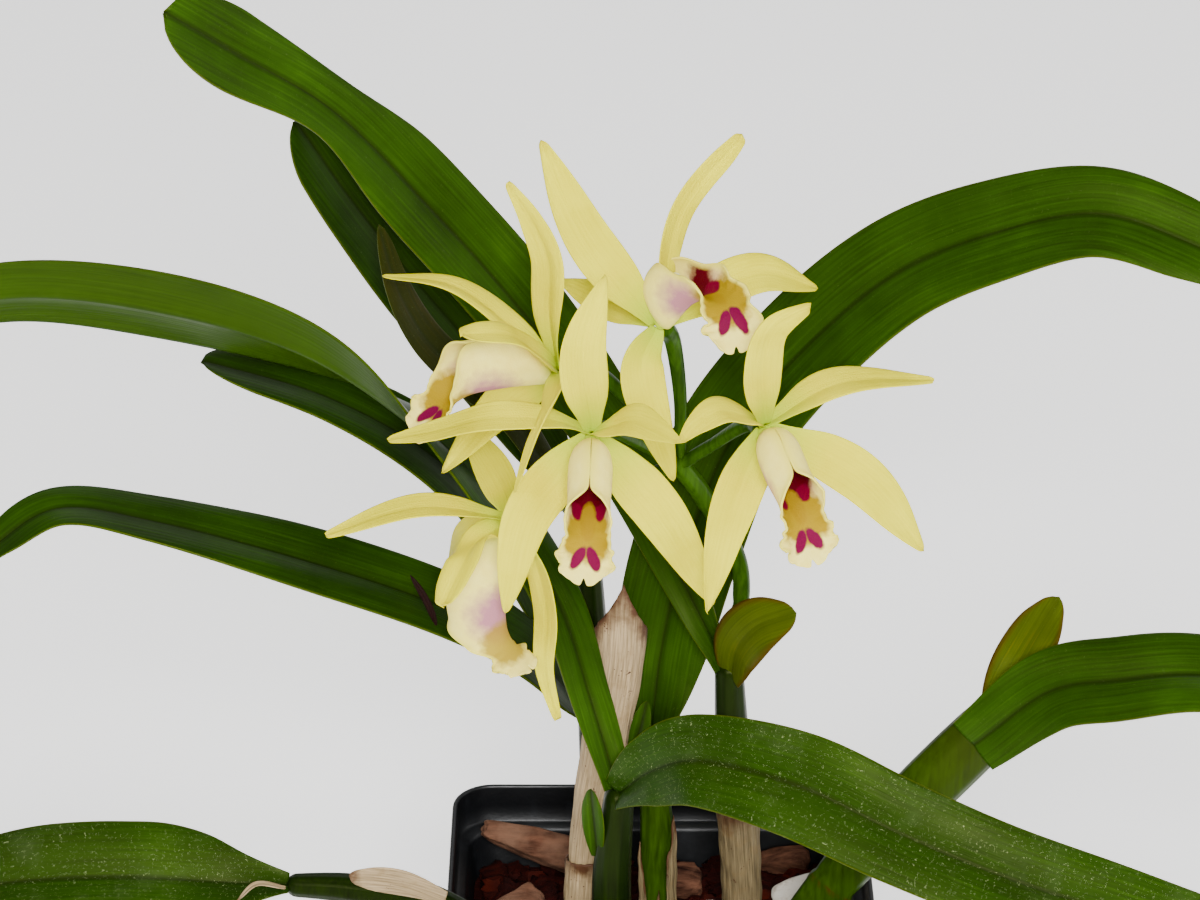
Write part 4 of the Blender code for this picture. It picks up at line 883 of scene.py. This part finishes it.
# Half widths at even places along a tepal, as shares of its widest.
TEPAL_OUTLINE = {
    "petal": (0.34, 0.6, 0.9, 1.0, 0.97, 0.86, 0.68, 0.42, 0.12),
    "lower": (0.36, 0.78, 1.0, 1.0, 0.9, 0.76, 0.6, 0.38, 0.1),
    "strap": (0.5, 0.7, 0.9, 1.0, 1.0, 0.96, 0.9, 0.8, 0.5),
}
TEPAL_FOLD, TEPAL_THICK = 0.26, 0.7
# Radius of the small hub that a bloom's tepals grow from, and how far behind its centre they start.
HUB = 1.9
BEHIND = 1.8


def petal_tissue():
    """Petal tissue: soft, thin, a sparkle of small cells, faint veins along it, green at the base."""
    material, tree, shader = new_finish("petal_tissue", {
        "Roughness": 0.5, "Specular IOR Level": 0.15, "Specular Tint": srgb("#E8DC80"),
        "Subsurface Weight": 0.2, "Subsurface Scale": 0.0012, "Subsurface Radius": (1.0, 0.9, 0.2)})
    across_mm, along_mm, along = (
        add(tree, "Attribute", attribute_name=mark).outputs["Fac"]
        for mark in ("across_mm", "along_mm", "along"))
    flat = add(tree, "CombineXYZ", {0: across_mm, 1: along_mm}).outputs[0]
    thread = add(tree, "Mapping", {"Vector": flat, "Scale": (1.9, 0.05, 1)})
    veins = add(tree, "TexNoise", {"Vector": thread.outputs[0], "Scale": 1, "Detail": 2})
    place = add(tree, "TexCoord").outputs["Object"]
    cloud = add(tree, "TexNoise", {"Vector": place, "Scale": 70, "Detail": 2})
    mixed = add(tree, "Math", {0: veins.outputs["Fac"], 1: 0.6, 2: cloud.outputs["Fac"]},
                operation="MULTIPLY_ADD")
    tone = add(tree, "MapRange", {"Value": mixed.outputs[0], "From Min": 0.55, "From Max": 1.05})
    yellow = add(tree, "Mix", {0: tone.outputs[0], 6: srgb("#D4C804"), 7: srgb("#E4DA20")}, data_type="RGBA")
    base = add(tree, "MapRange", {"Value": along, "From Min": 0.02, "From Max": 0.3, "To Min": 0.85,
                                  "To Max": 0})
    greened = add(tree, "Mix", {0: base.outputs[0], 6: yellow.outputs[2], 7: srgb("#A9C21C")},
                  data_type="RGBA")
    tip = add(tree, "MapRange", {"Value": along, "From Min": 0.93, "From Max": 1.0, "To Max": 0.4})
    tipped = add(tree, "Mix", {0: tip.outputs[0], 6: greened.outputs[2], 7: srgb("#AFA024")},
                 data_type="RGBA")
    tree.links.new(tipped.outputs[2], shader.inputs["Base Color"])
    cells = add(tree, "TexVoronoi", {"Vector": place, "Scale": 2600})
    height = add(tree, "Math", {0: veins.outputs["Fac"], 1: 2.5, 2: cells.outputs["Distance"]},
                 operation="MULTIPLY_ADD")
    bump = add(tree, "Bump", {"Height": height.outputs[0], "Strength": 0.35, "Distance": 0.00025})
    tree.links.new(bump.outputs[0], shader.inputs["Normal"])
    return material


def lip_axes(bloom):
    """Centre of a bloom, the direction that its lip leaves in, and the side that its tube opens to."""
    centre = np.array(bloom["centre"], float)
    ahead = unit(np.array(bloom["lip"][0], float))
    up = np.array(bloom["up"], float)
    return centre, ahead, unit(up - (up @ ahead) * ahead)


petal = petal_tissue()
for seed, (name, bloom) in enumerate(BLOOMS.items()):
    centre, ahead, up = lip_axes(bloom)
    parts = []
    for number, (offsets, faces, half, kind) in enumerate(bloom["tepals"]):
        start = centre + unit(np.array(offsets[0], float)) * 0.8 - ahead * BEHIND
        midrib = [start] + [centre + np.array(spot) for spot in offsets]
        outline = half * np.array(TEPAL_OUTLINE[kind])
        parts.append(blade(midrib, faces, outline, TEPAL_FOLD, TEPAL_THICK, rows=80, columns=25, wave=0.7,
                           seed=seed * 5 + number, keel=0.1, tip=0.03, clasp=0.5, soft=0.12))
    hub_route = [centre - ahead * HUB, centre, centre + ahead * HUB]
    hub, hub_faces, hub_marks = stem(hub_route, (HUB, HUB, HUB), rows=16, sides=24)
    zero = np.zeros(len(hub))
    petal_marks = {"along": zero, "across": zero, "across_mm": hub_marks["round"],
                   "along_mm": hub_marks["along_mm"], "upper": zero + 1}
    parts.append((hub, hub_faces, petal_marks))
    add_piece(f"bloom_{name}_petals", joined(parts), petal, [f"bloom_{name}_tepals"])

# Lips. Each bloom's third petal: its side lobes roll into a tube round the column and its front lobe
# spreads ruffled and notched. Cream outside with a pink flush, crimson in the throat, a yellow disc.

# At even places along a lip: half the length of its cross-section, and the radius that it is bent to.
LIP_ARC = (5.2, 10.0, 13.6, 15.3, 15.7, 15.5, 14.2, 9.6, 6.3, 6.7, 7.0, 6.5, 4.4)
LIP_RADIUS = (1.7, 3.2, 4.35, 4.9, 5.0, 4.95, 4.8, 5.0, 6.2, 10.0, 14.5, 17.5, 20.0)
# How much taller than round the tube is, how far from the centre it starts, and half its thickness.
LIP_TALL = 1.3
LIP_CLEAR = 1.0
LIP_HALF = 0.28
# Lips that are larger than the others.
LIP_SCALE = {"left": 1.05, "low": 1.12}


def lip_part(bloom, seed, scale, rows=130, columns=81):
    """Lip: its lower line, and over it a cross-section r sin(angle) sideways and 1.3 r (1 - cos(angle))
    up, with angle = u arc / r, for u from -1 to 1. arc and r are read at the place along to the power
    late, and grow with the scale. A bell narrows the side lobes by the share cut, and their edge flares
    where they end. Ruffles of three sines grow to the edge of the front lobe, which also waves in width,
    and its end is notched."""
    dice = np.random.default_rng(seed)
    centre, ahead, up = lip_axes(bloom)
    points = [centre + np.array(spot) for spot in bloom["lip"]]
    route = [centre + ahead * LIP_CLEAR - up * LIP_RADIUS[0] * LIP_TALL] + points
    line, length = line_through(route, 400)
    side, face = frame_along(line, [up, up, bloom.get("lobe", up)])
    place, across = np.linspace(0, 1, rows)[:, None], np.linspace(-1, 1, columns)[None, :]
    notch = 0.05 * np.exp(-((across / 0.12) ** 2)) + 0.16 * abs(across) ** 3.5
    reach = place - notch * np.clip((place - 0.7) / 0.3, 0, 1) ** 1.5
    middle, side, face = read_rows(reach, line, side, face)
    reach = reach ** bloom.get("late", 1.0)
    arc = spline(LIP_ARC, reach.ravel()).reshape(reach.shape) * scale
    radius = spline(LIP_RADIUS, reach.ravel()).reshape(reach.shape) * scale
    phase = dice.uniform(0, math.tau, 4)
    arc = arc * (1 - bloom.get("cut", 0.0) * np.exp(-(((reach - 0.48) / 0.12) ** 2)))
    widening = 0.09 * np.sin(reach * 47 + phase[1] * np.sign(across))
    arc = arc * (1 + np.clip((reach - 0.55) * 8, 0, 1) * widening)
    angle = across * arc / radius
    rise = LIP_TALL * radius * (1 - np.cos(angle))
    grid = middle + (radius * np.sin(angle))[..., None] * side + rise[..., None] * face
    normal = unit(np.cross(np.gradient(grid, axis=1), np.gradient(grid, axis=0)))
    lobe = np.clip((reach - 0.5) / 0.25, 0, 1) * abs(across) ** 2.5
    frill = (0.8 * np.sin(reach * 38 + phase[0] * np.sign(across))
             + 0.55 * np.sin(reach * 74 + phase[1] * np.sign(across))
             + 0.3 * np.sin(reach * 131 + phase[3] * np.sign(across)))
    end = 0.8 * np.cos(across * 5.2) + 0.5 * np.sin(across * 9 + phase[2])
    end = end * np.clip((reach - 0.8) / 0.2, 0, 1)
    flare = -0.9 * np.exp(-(((reach - 0.54) / 0.06) ** 2)) * abs(across) ** 5
    grid = grid + normal * (0.75 * lobe * frill + 0.35 * end + flare)[..., None]
    marks = {"along": reach, "across": across, "across_mm": across * arc, "along_mm": reach * length}
    return sheet(grid, LIP_HALF, LIP_HALF, marks)


def lip_tissue():
    """Lip tissue: thin petal with a velvety face, cream, with its crimson, yellow and pink patches
    drawn by distance along and across the lip."""
    material, tree, shader = new_finish("lip_tissue", {
        "Roughness": 0.55, "Specular IOR Level": 0.06, "Subsurface Weight": 0.12, "Subsurface Scale": 0.0008,
        "Subsurface Radius": (1.0, 0.7, 0.5)})
    across_mm, along, upper, edge = (
        add(tree, "Attribute", attribute_name=mark).outputs["Fac"]
        for mark in ("across_mm", "along", "upper", "across"))
    place = add(tree, "TexCoord").outputs["Object"]
    wobble = add(tree, "TexNoise", {"Vector": place, "Scale": 420, "Detail": 3})
    side = add(tree, "Math", {0: across_mm}, operation="ABSOLUTE").outputs[0]

    def patch(across_at, along_at, across_half, along_half, soft, slant=0.0):
        """1 inside an ellipse at a distance from the middle and a place along, its edge broken by noise."""
        shifted = add(tree, "Math", {0: along, 1: -slant, 2: slant * along_at - across_at},
                      operation="MULTIPLY_ADD").outputs[0]
        from_middle = add(tree, "Math", {0: side, 1: shifted}, operation="ADD").outputs[0]
        u = add(tree, "Math", {0: from_middle, 1: across_half}, operation="DIVIDE").outputs[0]
        moved = add(tree, "Math", {0: along, 1: along_at}, operation="SUBTRACT").outputs[0]
        v = add(tree, "Math", {0: moved, 1: along_half}, operation="DIVIDE").outputs[0]
        uu = add(tree, "Math", {0: u, 1: u}, operation="MULTIPLY").outputs[0]
        far = add(tree, "Math", {0: v, 1: v, 2: uu}, operation="MULTIPLY_ADD").outputs[0]
        torn = add(tree, "Math", {0: wobble.outputs["Fac"], 1: 0.9, 2: far},
                   operation="MULTIPLY_ADD").outputs[0]
        return add(tree, "MapRange", {"Value": torn, "From Min": 1.45 - soft, "From Max": 1.45 + soft,
                                      "To Min": 1, "To Max": 0}).outputs[0]

    cream = add(tree, "Mix", {0: wobble.outputs["Fac"], 6: srgb("#EEDA60"), 7: srgb("#FAEC84")},
                data_type="RGBA")
    base = add(tree, "MapRange", {"Value": along, "From Min": 0.0, "From Max": 0.12, "To Min": 0.7,
                                  "To Max": 0})
    colour = add(tree, "Mix", {0: base.outputs[0], 6: cream.outputs[2], 7: srgb("#C4CC4A")},
                 data_type="RGBA")
    faint = add(tree, "MapRange", {"Value": upper, "To Min": 0.85}).outputs[0]
    # Pink flush, yellow disc, crimson throat, its flanks, the yellow wedge in it, and the two stripes.
    # Each has its patch, its colour and its strength. The last four show on the inner side alone.
    layers = [
        (patch(0, 0.42, 8.0, 0.2, 0.6), "#A05084", 0.85),
        (patch(0, 0.665, 6.8, 0.185, 0.3), "#9C8000", faint),
        (patch(0, 0.43, 9.5, 0.11, 0.3), "#560012", upper),
        (patch(3.3, 0.515, 2.0, 0.06, 0.25), "#6E0026", upper),
        (patch(0, 0.57, 2.0, 0.13, 0.3), "#967800", upper),
        (patch(1.85, 0.815, 1.6, 0.08, 0.25, slant=13), "#6A0034", upper),
    ]
    for mask, code, weight in layers:
        share = add(tree, "Math", {0: mask, 1: weight}, operation="MULTIPLY").outputs[0]
        colour = add(tree, "Mix", {0: share, 6: colour.outputs[2], 7: srgb(code)}, data_type="RGBA")
    far_edge = add(tree, "Math", {0: edge}, operation="ABSOLUTE").outputs[0]
    fringe = add(tree, "MapRange", {"Value": far_edge, "From Min": 0.84, "From Max": 0.97}).outputs[0]
    colour = add(tree, "Mix", {0: fringe, 6: colour.outputs[2], 7: srgb("#EADC58")}, data_type="RGBA")
    tree.links.new(colour.outputs[2], shader.inputs["Base Color"])
    cells = add(tree, "TexVoronoi", {"Vector": place, "Scale": 2600})
    bump = add(tree, "Bump", {"Height": cells.outputs["Distance"], "Strength": 0.3, "Distance": 0.0002})
    tree.links.new(bump.outputs[0], shader.inputs["Normal"])
    return material


lip_finish = lip_tissue()
for seed, (name, bloom) in enumerate(BLOOMS.items()):
    part = lip_part(bloom, seed, LIP_SCALE.get(name, 1.0))
    add_piece(f"bloom_{name}_labellum", part, lip_finish, [f"bloom_{name}_lip"])

# Columns. The fused stamen and style, a fleshy white rod arched inside the lip's tube, with a rounded
# cap over its pollen at the end. It grows from the hub.


def column_flesh():
    """Waxy white flesh, faintly green at the base."""
    material, tree, shader = new_finish("column_flesh", {
        "Roughness": 0.35, "IOR": 1.42, "Subsurface Weight": 0.2, "Subsurface Scale": 0.0015})
    along = add(tree, "Attribute", attribute_name="along").outputs["Fac"]
    share = add(tree, "MapRange", {"Value": along, "From Min": 0, "From Max": 0.8})
    colour = add(tree, "Mix", {0: share.outputs[0], 6: srgb("#C0CA50"), 7: srgb("#F4EAB8")},
                 data_type="RGBA")
    tree.links.new(colour.outputs[2], shader.inputs["Base Color"])
    return material


column_finish = column_flesh()
for name, bloom in BLOOMS.items():
    centre, ahead, up = lip_axes(bloom)
    begin = centre + ahead * (HUB - 0.5)
    end = centre + ahead * 12.0 + up * 8.0
    part = stem([begin, (begin + end) / 2 + up * 0.3, end], (1.2, 1.9, 2.2), (0.8,), rows=60, sides=28)
    add_piece(f"bloom_{name}_rod", part, column_finish, [f"bloom_{name}_column"])

# Studio. A pale, faintly glowing floor that meets a sky as bright at the horizon, a large soft light in
# front, a small frontal one for the gloss of the waxy leaves, weak ones from the right and from behind,
# and the camera, which looks down on the pot through a long lens.
bpy.ops.mesh.primitive_plane_add(size=30, location=(0, 0, 0))
floor = bpy.context.object
floor.name = "studio_floor"
# Matt white paint.
paint = new_finish("floor_paint", {
    "Base Color": srgb("#F6F5F3"), "Roughness": 0.9,
    "Emission Color": srgb("#FFFFFF"), "Emission Strength": 0.9})[0]
floor.data.materials.append(paint)


def area_light(name, place, target, size, watts):
    """Square soft light that looks at a target."""
    light = bpy.data.lights.new(name, "AREA")
    light.size, light.energy = size, watts
    lamp = bpy.data.objects.new(name, light)
    lamp.location = place
    lamp.rotation_euler = (Vector(target) - Vector(place)).to_track_quat("-Z", "Y").to_euler()
    bpy.context.scene.collection.objects.link(lamp)


PLANT_MIDDLE = (0, 0, 0.22)
area_light("key_light", (-0.9, -1.3, 1.9), PLANT_MIDDLE, 1.2, 25)
area_light("front_light", (0.05, -1.2, 0.95), PLANT_MIDDLE, 0.3, 27)
area_light("fill_light", (1.5, -0.4, 1.2), PLANT_MIDDLE, 1.5, 16)
area_light("back_light", (0.2, 1.6, 1.6), PLANT_MIDDLE, 1.5, 7)
world = bpy.data.worlds.new("studio_air")
world.use_nodes = True
sky = world.node_tree
height = add(sky, "SeparateXYZ", {0: add(sky, "TexCoord").outputs["Generated"]}).outputs["Z"]
glow = add(sky, "MapRange", {"Value": height, "From Min": 0.03, "From Max": 0.25, "To Min": 0.9,
                              "To Max": 0.28})
background = sky.nodes["Background"]
background.inputs["Color"].default_value = srgb("#FFFFFF")
sky.links.new(glow.outputs[0], background.inputs["Strength"])
bpy.context.scene.world = world

CAMERA_PLACE = (-0.016, -0.830, 0.691)
CAMERA_DOWN = 28
lens = bpy.data.cameras.new("photo_camera")
lens.sensor_width, lens.lens = 36, 114
camera = bpy.data.objects.new("photo_camera", lens)
camera.location = CAMERA_PLACE
camera.rotation_euler = (math.radians(90 - CAMERA_DOWN), 0, 0)
bpy.context.scene.collection.objects.link(camera)
bpy.context.scene.camera = camera
